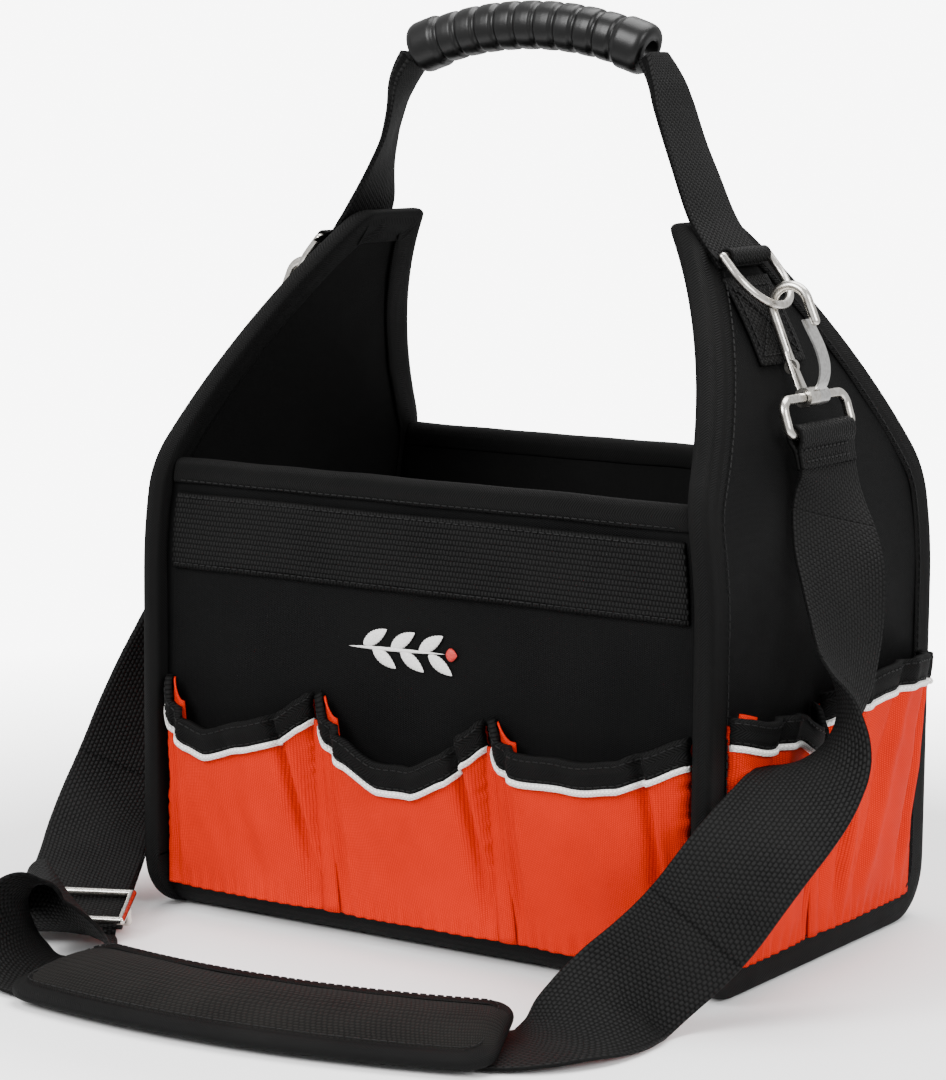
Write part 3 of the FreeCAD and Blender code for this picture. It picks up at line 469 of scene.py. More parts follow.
def weave_group() -> bpy.types.ShaderNodeTree:
    """Crossing threads: rows of warp and weft whose crossings may step sideways, as in a twill."""
    tree, wiring, takes, gives = new_group(
        "Weave",
        [("Vector", "NodeSocketVector", 0.0), ("Across", "NodeSocketFloat", 1000.0),
         ("Along", "NodeSocketFloat", 1000.0), ("Step", "NodeSocketFloat", 0.5), ("Jitter", "NodeSocketFloat", 0.3)],
        [("Height", "NodeSocketFloat"), ("Tone", "NodeSocketFloat")])
    vector = takes.outputs["Vector"]
    parts = wiring.add("ShaderNodeSeparateXYZ")
    wiring.join(vector, parts.inputs[0])
    wander = wiring.math("SUBTRACT", wiring.cloud(vector, 260.0, 2.0), 0.5)
    shift = wiring.math("MULTIPLY", wander, takes.outputs["Jitter"])
    warp = wiring.math("MULTIPLY_ADD", parts.outputs[0], takes.outputs["Across"], shift)
    row = wiring.math("MULTIPLY_ADD", parts.outputs[1], takes.outputs["Along"], shift)
    stepped = wiring.math("MULTIPLY_ADD", wiring.math("FLOOR", warp), takes.outputs["Step"], row)
    warp_round = wiring.math("ABSOLUTE", wiring.math("SINE", wiring.math("MULTIPLY", warp, math.pi)))
    float_round = wiring.math("ABSOLUTE", wiring.math("SINE", wiring.math("MULTIPLY", stepped, math.pi)))
    height = wiring.math("MULTIPLY", wiring.math("POWER", warp_round, 0.6), wiring.math("POWER", float_round, 0.7))
    wiring.join(height, gives.inputs["Height"])
    wiring.join(wiring.ramp(height, 0.15, 0.85), gives.inputs["Tone"])
    return tree


def rib_group() -> bpy.types.ShaderNodeTree:
    """Raised ribs in a zigzag, as on binding tape."""
    tree, wiring, takes, gives = new_group(
        "Ribs",
        [("Vector", "NodeSocketVector", 0.0), ("Ribs", "NodeSocketFloat", 600.0),
         ("Zigzag", "NodeSocketFloat", 0.0), ("Width", "NodeSocketFloat", 0.005)],
        [("Height", "NodeSocketFloat"), ("Tone", "NodeSocketFloat")])
    vector = takes.outputs["Vector"]
    parts = wiring.add("ShaderNodeSeparateXYZ")
    wiring.join(vector, parts.inputs[0])
    fold = wiring.math("PINGPONG", parts.outputs[0], takes.outputs["Width"])
    slant = wiring.math("MULTIPLY_ADD", fold, takes.outputs["Zigzag"], parts.outputs[1])
    rows = wiring.math("MULTIPLY", slant, takes.outputs["Ribs"])
    wave = wiring.math("SINE", wiring.math("MULTIPLY", rows, math.pi))
    height = wiring.math("POWER", wiring.math("ABSOLUTE", wave), 0.7)
    wiring.join(height, gives.inputs["Height"])
    wiring.join(wiring.ramp(height, 0.1, 0.8), gives.inputs["Tone"])
    return tree


def wear_group() -> bpy.types.ShaderNodeTree:
    """Handling marks: broad cloudy changes, fine lint and dust that settles on upward faces."""
    tree, wiring, takes, gives = new_group(
        "Wear",
        [("Vector", "NodeSocketVector", 0.0), ("Dust", "NodeSocketFloat", 0.1)],
        [("Cloud", "NodeSocketFloat"), ("Dust", "NodeSocketFloat")])
    vector = takes.outputs["Vector"]
    broad = wiring.ramp(wiring.cloud(vector, 28.0, 4.0), 0.3, 0.7)
    lint = wiring.ramp(wiring.cloud(vector, 900.0, 2.0), 0.62, 0.75)
    facing = wiring.add("ShaderNodeSeparateXYZ")
    wiring.join(wiring.add("ShaderNodeNewGeometry").outputs["Normal"], facing.inputs[0])
    upward = wiring.ramp(facing.outputs[2], -0.2, 1.0, 0.25, 1.0)
    settled = wiring.math("MULTIPLY", wiring.math("MULTIPLY", upward, takes.outputs["Dust"]),
                          wiring.math("MULTIPLY_ADD", lint, 0.7, wiring.math("MULTIPLY", broad, 0.5)))
    wiring.join(broad, gives.inputs["Cloud"])
    wiring.join(settled, gives.inputs["Dust"])
    return tree


class Groups:
    """The shader groups that the finishes share."""

    def __init__(self) -> None:
        """Build each group once."""
        self.weave = weave_group()
        self.ribs = rib_group()
        self.wear = wear_group()

    def worn(self, wiring: Wiring, place: Socket, dust: float) -> Node:
        """Add handling marks to a material."""
        wear = wiring.add("ShaderNodeGroup", node_tree=self.wear)
        wiring.put(wear, {"Dust": dust, "Vector": place})
        return wear


class Pattern(Enum):
    """How a cloth is woven."""

    WOVEN = "woven"
    RIBBED = "ribbed"


Colour = tuple[float, float, float, float]


@dataclass(frozen=True)
class Cloth:
    """A woven finish whose threads follow the piece's own flat map."""

    name: str
    low: Colour
    high: Colour
    across: float
    along: float
    step: float = 0.5
    relief: float = 0.0002
    roughness: float = 0.8
    sheen: float = 0.0
    dust: float = 0.012
    shine: float = 0.05
    pattern: Pattern = Pattern.WOVEN
    zigzag: float = 0.0
    rib_width: float = 0.005

    def material(self, groups: Groups) -> Finish:
        """Build the material.

        Args:
            groups: The shared shader groups.

        Returns:
            The finished material.
        """
        made, wiring = new_material(self.name)
        place = wiring.add("ShaderNodeTexCoord")
        if self.pattern is Pattern.WOVEN:
            tree, values = groups.weave, {"Across": self.across, "Along": self.along, "Step": self.step}
        else:
            tree, values = groups.ribs, {"Ribs": self.along, "Zigzag": self.zigzag, "Width": self.rib_width}
        pattern = wiring.add("ShaderNodeGroup", node_tree=tree)
        wiring.put(pattern, {**values, "Vector": place.outputs["UV"]})
        wear = groups.worn(wiring, place.outputs["Object"], self.dust)
        shader = wiring.add("ShaderNodeBsdfPrincipled")
        thread = wiring.blend(pattern.outputs["Tone"], self.low, self.high)
        clouded = wiring.blend(wiring.math("MULTIPLY", wear.outputs["Cloud"], 0.16), thread,
                               tuple(min(part * 1.5, 1.0) for part in self.high[:3]) + (1.0,))
        dusty = wiring.blend(wear.outputs["Dust"], clouded, (0.42, 0.4, 0.37, 1.0))
        uneven = wiring.ramp(wear.outputs["Cloud"], 0.0, 1.0, self.roughness - 0.06, min(self.roughness + 0.06, 1.0))
        wiring.put(shader, {"Base Color": dusty, "Roughness": uneven, "Sheen Weight": self.sheen,
                            "Sheen Roughness": 0.5, "Specular IOR Level": self.shine})
        close_material(wiring, shader, pattern.outputs["Height"], 0.9, self.relief)
        return made


@dataclass(frozen=True)
class Hard:
    """A metal, moulded or thread finish with grain and light wear."""

    name: str
    colour: Colour
    worn: Colour
    metallic: float
    roughness: float
    grain: float
    relief: float
    dust: float = 0.01
    shine: float = 0.5

    def material(self, groups: Groups) -> Finish:
        """Build the material.

        Args:
            groups: The shared shader groups.

        Returns:
            The finished material.
        """
        made, wiring = new_material(self.name)
        place = wiring.add("ShaderNodeTexCoord").outputs["Object"]
        wear = groups.worn(wiring, place, self.dust)
        fine = wiring.cloud(place, self.grain, 4.0)
        shader = wiring.add("ShaderNodeBsdfPrincipled")
        wiring.put(shader, {"Metallic": self.metallic, "Specular IOR Level": self.shine})
        tone = wiring.blend(wiring.ramp(fine, 0.35, 0.75), self.colour, self.worn)
        wiring.join(wiring.blend(wear.outputs["Dust"], tone, (0.4, 0.38, 0.35, 1.0)), shader.inputs["Base Color"])
        wiring.join(wiring.ramp(wear.outputs["Cloud"], 0.0, 1.0, self.roughness * 0.8, self.roughness * 1.25),
                    shader.inputs["Roughness"])
        close_material(wiring, shader, fine, 0.5, self.relief)
        return made


def grey(value: float, warm: float = 0.0) -> Colour:
    """A near-neutral colour, a little warm or cool."""
    return (value * (1 + warm), value, value * (1 - warm), 1.0)


class Finishes:
    """Every material of the bag, made once."""

    def __init__(self) -> None:
        """Build the materials."""
        groups = Groups()

        def made(kind: type[Cloth] | type[Hard], *values: object, **more: object) -> Finish:
            """Material of one finish."""
            return kind(*values, **more).material(groups)

        self.body = made(Cloth, "black_body_cloth", grey(0.0006, -0.04), grey(0.0042, -0.03), 1150, 1150,
                         relief=0.00022, roughness=0.6)
        self.lining = made(Cloth, "black_lining_cloth", grey(0.001), grey(0.005), 1500, 1500, relief=0.0001,
                           shine=0.06)
        self.orange = made(Cloth, "orange_pocket_cloth", (0.34, 0.008, 0.0010, 1.0), (0.62, 0.018, 0.0022, 1.0),
                           1100, 1100, relief=0.00022, roughness=0.65, dust=0.002, shine=0.04)
        self.binding = made(Cloth, "ribbed_binding_tape", grey(0.0006), grey(0.0055), 700, 760, zigzag=1.0,
                            pattern=Pattern.RIBBED, rib_width=0.0035, relief=0.0004, roughness=0.65)
        self.webbing = made(Cloth, "coarse_webbing", grey(0.0006), grey(0.0085), 520, 430, relief=0.0006,
                            roughness=0.6, shine=0.07)
        self.band = made(Cloth, "wall_band_webbing", grey(0.0004), grey(0.0085), 430, 560, relief=0.0007,
                         roughness=0.6, shine=0.06)
        self.piping = made(Cloth, "white_piping", (0.6, 0.58, 0.56, 1.0), (0.94, 0.93, 0.91, 1.0), 700, 500,
                           step=0.4, relief=0.0004, roughness=0.75)
        self.pad = made(Cloth, "soft_pad_cloth", grey(0.001, 0.06), grey(0.006, 0.12), 620, 620, step=0.33,
                        relief=0.0004, sheen=0.02)
        self.thread = made(Hard, "black_thread", grey(0.003), grey(0.014), 0.0, 0.6, 2500, 0.0002, dust=0.0,
                           shine=0.15)
        self.white_thread = made(Hard, "white_embroidery", grey(0.6, 0.02), grey(0.88, 0.02), 0.0, 0.55, 1800,
                                 0.0003)
        self.red_thread = made(Hard, "red_embroidery", (0.35, 0.01, 0.008, 1), (0.62, 0.03, 0.02, 1), 0.0, 0.5,
                               1800, 0.0003)
        self.nickel = made(Hard, "worn_nickel", (0.66, 0.64, 0.6, 1), (0.46, 0.43, 0.39, 1), 1.0, 0.24, 420,
                           0.00005, dust=0.03)
        self.spring = made(Hard, "spring_steel", (0.6, 0.6, 0.59, 1), (0.42, 0.41, 0.4, 1), 1.0, 0.3, 600, 0.00005)
        self.grip = made(Hard, "moulded_grip", grey(0.0015), grey(0.003), 0.0, 0.34, 1500, 0.00008, dust=0.004,
                         shine=0.3)
        self.board = made(Hard, "stiffening_board", grey(0.05), grey(0.07), 0.0, 0.7, 600, 0.0001)


# Walls and lining ---------------------------------------------------------------------------------
def wall_half_width(height: float) -> float:
    """Half the width of a wall between the end panels at a height."""
    return lean_x(height) - (HALF_WIDTH - WALL_X)


def along_line(points: Sequence[Vector], share: float) -> Vector:
    """Point at a share of the length of a line of points."""
    lengths = running(points)
    at = share * lengths[-1]
    index = min(max(bisect_right(lengths, at) - 1, 0), len(points) - 2)
    step = lengths[index + 1] - lengths[index]
    return points[index].lerp(points[index + 1], (at - lengths[index]) / step if step else 0.0)


def trough(half: float, top: float, low: float, radius: float) -> list[Vector]:
    """Section of a wall, its rounded foot, the floor and the other wall, as (y, z) points."""
    turn = [Vector((-half + radius - radius * math.cos(a), low + radius - radius * math.sin(a)))
            for a in (math.pi / 2 * step / 8 for step in range(9))]
    front = [Vector((-half, top)), *turn]
    return front + [Vector((-point.x, point.y)) for point in reversed(front)]


@dataclass
class Walls:
    """Front and back walls, base, lining, top binding and wall bands."""

    finishes: Finishes
    gusset: float = 0.020
    band_low: float = 0.163
    band_high: float = 0.198
    inner_y: float = 0.0905
    floor_z: float = 0.0070

    def shell(self) -> Piece:
        """Black cloth of both walls and the base in one length, rounded at the foot."""
        line = trough(WALL_Y, WALL_TOP - 0.001, 0.0, self.gusset)
        total = length_of(line)

        def place(across: float, along: float) -> Vector:
            """Point of the outer face."""
            spot = along_line(line, along)
            x = (2 * across - 1) * wall_half_width(spot.y)
            swell = 0.0007 * rough(x, along * total, 0.045, 1.0) * smooth((spot.y - 0.03) / 0.02)
            out = math.copysign(1.0, spot.x) if spot.y > 0.02 else 0.0
            return Vector((x, spot.x + out * swell, spot.y))

        bm = bmesh.new()
        lay(bm, Cells(64, 150), (2 * WALL_X, total), place, Vector((0, 0, -1)))
        piece = finished("wall_and_base_cloth", bm, self.finishes.body, 0.0013)
        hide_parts("front_panel", "back_panel", "base_panel", "base_edge_binding")
        return piece

    def lining(self) -> Piece:
        """Black lining of the compartment: walls and floor in one length, and both end faces."""
        line = trough(self.inner_y, WALL_TOP - 0.001, self.floor_z, 0.014)
        total = length_of(line)

        def place(across: float, along: float) -> Vector:
            """Point of the inner face."""
            spot = along_line(line, along)
            x = (2 * across - 1) * (wall_half_width(spot.y) + 0.0008)
            slack = 0.0006 * (1 + rough(x, spot.x, 0.03, 2.0)) * float(abs(spot.x) < 0.07)
            return Vector((x, spot.x, spot.y + slack))

        bm = bmesh.new()
        lay(bm, Cells(40, 90), (2 * WALL_X, total), place, Vector((0, 0, 1)))
        for sign in (-1.0, 1.0):
            def inner(across: float, along: float, sign: float = sign) -> Vector:
                """Point of an end face's lining."""
                height = 0.008 + along * (END_TOP - 0.0085)
                y = (2 * across - 1) * (end_half_width(height) - 0.002)
                x = lean_x(height, -0.0066 - 0.0004 * rough(y, height, 0.04, sign))
                return Vector((sign * x, y, height))

            lay(bm, Cells(36, 60), (2 * HALF_DEPTH, END_TOP), inner, Vector((-sign, 0, 0)),
                lambda across, along: (across * 2 * HALF_DEPTH, lean_length(along * END_TOP)))
        piece = finished("compartment_lining_cloth", bm, self.finishes.lining, 0.0005)
        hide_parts("compartment_lining")
        return piece

    def top_binding(self) -> Piece:
        """Ribbed tape folded over the top edge of each wall."""
        section = [(-0.0983, 0.2020), (-0.0985, 0.2070), (-0.0984, 0.2112), (-0.0972, 0.2132), (-0.0940, 0.2139),
                   (-0.0908, 0.2131), (-0.0896, 0.2110), (-0.0895, 0.2060), (-0.0897, 0.2020)]
        bm = bmesh.new()
        for sign in (1.0, -1.0):
            def place(across: float, along: float, sign: float = sign) -> Vector:
                """Point of the tape."""
                y, z = section[round(across * (len(section) - 1))]
                x = (2 * along - 1) * (wall_half_width(z) - 0.0005)
                sway = 0.0005 * rough(x, z, 0.03, 3.0 + sign)
                return Vector((x, sign * (y + 0.3 * sway), z + sway))

            lay(bm, Cells(len(section) - 1, 96), (0.026, 2 * WALL_X), place, Vector((0, 0, 1)))
        piece = finished("wall_top_binding_tape", bm, self.finishes.binding, 0.0011, -1.0, 1)
        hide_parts("wall_top_binding")
        return piece

    def band(self, sign: float, node: str) -> Piece:
        """Wide webbing sewn across a wall under its top."""
        def place(across: float, along: float) -> Vector:
            """Point of the band's outer face."""
            z = self.band_low + across * (self.band_high - self.band_low)
            x = (2 * along - 1) * (wall_half_width(z) - 0.0045)
            lift = 0.0004 * rough(x, z, 0.02, 5.0 + sign) + 0.0006 * math.sin(across * math.pi)
            return Vector((x, sign * (WALL_Y + 0.0021 + lift), z + 0.0005 * rough(x, 0.0, 0.06, 6.0)))

        bm = bmesh.new()
        lay(bm, Cells(12, 110), (self.band_high - self.band_low, 2 * WALL_X), place, Vector((0, sign, 0)))
        piece = finished(node + "_webbing", bm, self.finishes.band, 0.0020)
        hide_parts(node)
        return piece

    def seams(self) -> Piece:
        """Rows of stitches along the bands and the top binding."""
        rows: list[list[Vector]] = []
        for sign in (-1.0, 1.0):
            for z in (self.band_low + 0.002, self.band_high - 0.002, 0.2035):
                half = wall_half_width(z) - 0.006
                lift = 0.0024 if z < 0.2 else 0.0021
                rows.append([Vector((x, sign * (WALL_Y + lift), z)) for x in (-half, half)])
        return stitched("wall_seams", rows, self.finishes.thread)

    def build(self) -> None:
        """Make the pieces and fix them to the bag."""
        for piece, slot in ((self.shell(), "body_cloth"), (self.lining(), "lining_cloth"),
                            (self.top_binding(), "edge_binding"),
                            (self.band(-1.0, "front_tool_band"), "webbing"),
                            (self.band(1.0, "back_tool_band"), "webbing"), (self.seams(), "webbing")):
            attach(piece, "bag")
            LOG.info("wall piece %s", piece.name)


def stitched(name: str, rows: Sequence[Sequence[Vector]], material: Finish, length: float = 0.0026,
             gap: float = 0.0011, size: float = 0.00034) -> Piece:
    """Rows of sewn stitches.

    Args:
        name: Name of the piece.
        rows: Lines of points that the rows follow.
        material: Finish of the thread.
        length: Length of one stitch.
        gap: Gap between two stitches.
        size: Radius of the thread.

    Returns:
        All the stitches as one piece.
    """
    curve = bpy.data.curves.new(name, "CURVE")
    curve.dimensions = "3D"
    curve.bevel_depth = size
    curve.bevel_resolution = 1
    curve.use_fill_caps = True
    for row in rows:
        total = length_of(row)
        count = max(int(total / (length + gap)), 1)
        for index in range(count):
            start = (index * (length + gap)) / total
            end = min(start + length / total, 1.0)
            spline = curve.splines.new("POLY")
            spline.points.add(1)
            spline.points[0].co = (*along_line(row, start), 1.0)
            spline.points[1].co = (*along_line(row, end), 1.0)
    holder = bpy.data.objects.new(name + "_line", curve)
    bpy.context.scene.collection.objects.link(holder)
    bpy.context.view_layer.update()
    mesh = bpy.data.meshes.new_from_object(holder)
    bpy.data.objects.remove(holder)
    mesh.name = name
    mesh.materials.clear()
    mesh.materials.append(material)
    piece = bpy.data.objects.new(name, mesh)
    bpy.context.scene.collection.objects.link(piece)
    return piece


# End panels ---------------------------------------------------------------------------------------
END_CORNERS = [(-HALF_DEPTH, 0.0015), (HALF_DEPTH, 0.0015), (HALF_DEPTH, WALL_TOP), (0.022, END_TOP),
               (-0.022, END_TOP), (-HALF_DEPTH, WALL_TOP)]
END_RADII = [0.025, 0.025, 0.040, 0.008, 0.008, 0.040]
END_OUTLINE = rounded(END_CORNERS, END_RADII, 8)
END_HALF = sorted((point.y, point.x) for point in END_OUTLINE if point.x > 0)


def end_half_width(height: float) -> float:
    """Half the depth of an end panel at a height."""
    if height <= END_HALF[0][0]:
        return END_HALF[0][1]
    for (low, start), (high, end) in zip(END_HALF, END_HALF[1:]):
        if height <= high:
            return start + (end - start) * ((height - low) / (high - low) if high > low else 0.0)
    return END_HALF[-1][1]


@dataclass
class EndPanel:
    """One tall leaning end panel with its binding, ring tab and seams."""

    side: str
    finishes: Finishes
    tape: float = 0.0150
    patch_low: float = 0.266
    patch_high: float = 0.303
    bar: tuple[float, float] = (0.10831, 0.31219)

    @property
    def sign(self) -> float:
        """Direction of the panel along X."""
        return 1.0 if self.side == "right" else -1.0

    def over(self, y: float, height: float, above: float) -> Vector:
        """Point over the panel's outer face."""
        return Vector((self.sign * lean_x(height, above), y, height))

    def cloth(self) -> Piece:
        """Outer black cloth."""
        def place(across: float, along: float) -> Vector:
            """Point of the outer face."""
            height = 0.0015 + along * (END_TOP - 0.002)
            y = (2 * across - 1) * (end_half_width(height) - 0.0004)
            return self.over(y, height, 0.0007 * rough(y, height, 0.05, 11.0 + self.sign))

        bm = bmesh.new()
        lay(bm, Cells(56, 96), (2 * HALF_DEPTH, END_TOP), place, Vector((self.sign, 0, 0)),
            lambda across, along: ((2 * across - 1) * end_half_width(along * END_TOP), lean_length(along * END_TOP)))
        piece = finished(self.side + "_end_cloth", bm, self.finishes.body, 0.0013)
        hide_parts(self.side + "_end_panel")
        return piece

    def outline_frames(self) -> list[tuple[Vector, Vector]]:
        """Points of the edge with their outward directions, closed."""
        count = len(END_OUTLINE)
        frames = []
        for index in range(count + 1):
            here = END_OUTLINE[index % count]
            ahead = (END_OUTLINE[(index + 1) % count] - END_OUTLINE[(index - 1) % count]).normalized()
            frames.append((here, Vector((ahead.y, -ahead.x))))
        return frames

    def binding(self) -> Piece:
        """Ribbed tape folded over the panel's edge."""
        frames = self.outline_frames()
        depth = PANEL_DEPTH
        section = [(self.tape, 0.0008), (self.tape * 0.66, 0.0014), (self.tape * 0.3, 0.0015), (0.0012, 0.0014),
                   (-0.0008, 0.0006), (-0.0017, -0.0014), (-0.0020, -depth / 2), (-0.0017, 0.0014 - depth),
                   (-0.0008, -0.0006 - depth), (0.0012, -0.0014 - depth), (self.tape * 0.5, -0.0014 - depth),
                   (self.tape, -0.0009 - depth)]
        last, edge = len(frames) - 1, len(section) - 1
        lengths, widths = running([spot for spot, _ in frames]), running(section, math.dist)

        def place(across: float, along: float) -> Vector:
            """Point of the tape."""
            spot, out = frames[round(along * last)]
            inset, above = section[round(across * edge)]
            at = lengths[round(along * last)]
            low = 1.0 - smooth(spot.y / 0.05)
            pucker = (0.0003 + 0.0006 * low) * rough(at, inset, 0.006, 21.0) * smooth(inset / 0.004)
            drawn = spot - out * (inset + 0.0006 * rough(at, 3.0, 0.02, 22.0) * smooth(inset / 0.008))
            return self.over(drawn.x, max(drawn.y, 0.0), above + pucker)

        bm = bmesh.new()
        lay(bm, Cells(edge, last), (1, 1), place, None,
            lambda across, along: (widths[round(across * edge)], lengths[round(along * last)]))
        bmesh.ops.remove_doubles(bm, verts=bm.verts, dist=SAME_POINT)
        bm.normal_update()
        probe = max(bm.faces, key=lambda face: self.sign * face.calc_center_median().x
                    - abs(face.calc_center_median().z - 0.1))
        if probe.normal.x * self.sign < 0:
            bmesh.ops.reverse_faces(bm, faces=bm.faces)
        piece = finished(self.side + "_end_tape", bm, self.finishes.binding, 0.0011, -1.0, 1)
        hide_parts(self.side + "_end_binding")
        return piece

    def tab(self) -> Piece:
        """Sewn webbing patch and the webbing that wraps the ring's bar."""
        bm = bmesh.new()

        def patch(across: float, along: float) -> Vector:
            """Point of the patch."""
            y = HARDWARE_Y + (across - 0.5) * CARRY_WIDTH
            height = self.patch_low + along * (self.patch_high - self.patch_low)
            puff = 0.0004 * math.sin(math.pi * across) + 0.0002 * rough(y, height, 0.01, 31.0)
            return self.over(y, height, 0.0019 + puff)

        lay(bm, Cells(20, 20), (CARRY_WIDTH, self.patch_high - self.patch_low), patch, Vector((self.sign, 0, 0)))

        def tunnel(across: float, along: float) -> Vector:
            """Point of the webbing round the bar."""
            y = HARDWARE_Y + (across - 0.5) * (CARRY_WIDTH - 0.006)
            turn = math.radians(-128 + along * 256)
            tilt = math.radians(36)
            radius = 0.0036 + 0.0002 * rough(y, turn * 0.004, 0.006, 32.0)
            x = self.bar[0] + radius * math.cos(turn + tilt)
            z = self.bar[1] + radius * math.sin(turn + tilt)
            return Vector((self.sign * x, y, z))

        lay(bm, Cells(20, 28), (CARRY_WIDTH, 0.018), tunnel, Vector((self.sign, 0, 0.7)))
        piece = finished(self.side + "_ring_tab_webbing", bm, self.finishes.webbing, 0.0012)
        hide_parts(self.side + "_ring_tab")
        return piece

    def seams(self) -> Piece:
        """Stitch rows along the binding and the crossed box on the tab."""
        drawn = [spot - out * (self.tape - 0.0022) for spot, out in self.outline_frames()]
        row = [self.over(spot.x, max(spot.y, 0.001), 0.0017) for spot in drawn]
        low, high, half = self.patch_low + 0.004, self.patch_high - 0.004, CARRY_WIDTH / 2 - 0.004
        box = [(-half, low), (half, low), (half, high), (-half, high), (-half, low), (half, high)]
        cross = [(half, low), (-half, high)]
        rows = [row]
        for corners in (box, cross):
            for (start_y, start_z), (end_y, end_z) in zip(corners, corners[1:]):
                rows.append([self.over(HARDWARE_Y + start_y + (end_y - start_y) * part / 6,
                                       start_z + (end_z - start_z) * part / 6, 0.0025) for part in range(7)])
        piece = stitched(self.side + "_end_seams", rows, self.finishes.thread, size=0.0004)
        return piece

    def build(self) -> None:
        """Make the pieces and fix them to the bag."""
        for piece in (self.cloth(), self.binding(), self.tab(), self.seams()):
            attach(piece, "bag")
            LOG.info("end panel piece %s", piece.name)


# Pockets ------------------------------------------------------------------------------------------
class Face(Enum):
    """The side of the bag that a pocket is sewn to."""

    FRONT = "front"
    BACK = "back"
    RIGHT = "right"
    LEFT = "left"


@dataclass(frozen=True)
class Cut:
    """The cut of one pocket: its foot, its mouth and the creases in it, in metres along the wall."""

    foot: tuple[float, float]
    mouth: tuple[float, float]
    rim: tuple[tuple[float, float], ...]
    creases: tuple[tuple[float, float, float, float], ...] = ()


def turned(cut: Cut) -> Cut:
    """The same pocket seen from the other hand."""
    return Cut((-cut.foot[1], -cut.foot[0]), (-cut.mouth[1], -cut.mouth[0]),
               tuple((1 - share, height) for share, height in reversed(cut.rim)),
               tuple((1 - top, 1 - low, width, depth) for top, low, width, depth in cut.creases))


FRONT_CUTS = (
    Cut((-0.140, -0.047), (-0.140, -0.058),
        ((0, 0.112), (0.08, 0.101), (0.2, 0.094), (0.34, 0.092), (0.6, 0.097), (0.85, 0.104), (0.95, 0.110),
         (1, 0.113)),
        ((0.80, 0.95, 0.032, 0.0062), (0.12, 0.05, 0.03, 0.0028), (0.45, 0.62, 0.06, 0.0010))),
    Cut((-0.045, 0.048), (-0.056, 0.034),
        ((0, 0.113), (0.08, 0.104), (0.2, 0.097), (0.4, 0.088), (0.6, 0.088), (0.8, 0.096), (0.92, 0.105),
         (1, 0.112)),
        ((0.85, 0.94, 0.030, 0.0062), (0.13, 0.08, 0.03, 0.0028), (0.55, 0.40, 0.07, 0.0010))),
    Cut((0.050, 0.140), (0.036, 0.140),
        ((0, 0.112), (0.08, 0.104), (0.2, 0.101), (0.45, 0.101), (0.7, 0.104), (0.85, 0.110), (1, 0.117)),
        ((0.80, 0.90, 0.030, 0.0056), (0.11, 0.08, 0.03, 0.0028), (0.40, 0.55, 0.06, 0.0010))),
)
SIDE_CUTS = (
    Cut((-0.086, -0.013), (-0.091, -0.012),
        ((0, 0.124), (0.2, 0.122), (0.5, 0.121), (0.75, 0.113), (0.9, 0.109), (1, 0.118)),
        ((0.34, 0.18, 0.05, 0.0034), (0.85, 0.9, 0.03, 0.0036))),
    Cut((-0.010, 0.086), (-0.009, 0.091),
        ((0, 0.121), (0.1, 0.126), (0.35, 0.131), (0.7, 0.131), (1, 0.128)),
        ((0.14, 0.20, 0.035, 0.0044), (0.55, 0.34, 0.05, 0.0030), (0.88, 0.8, 0.04, 0.0032))),
)


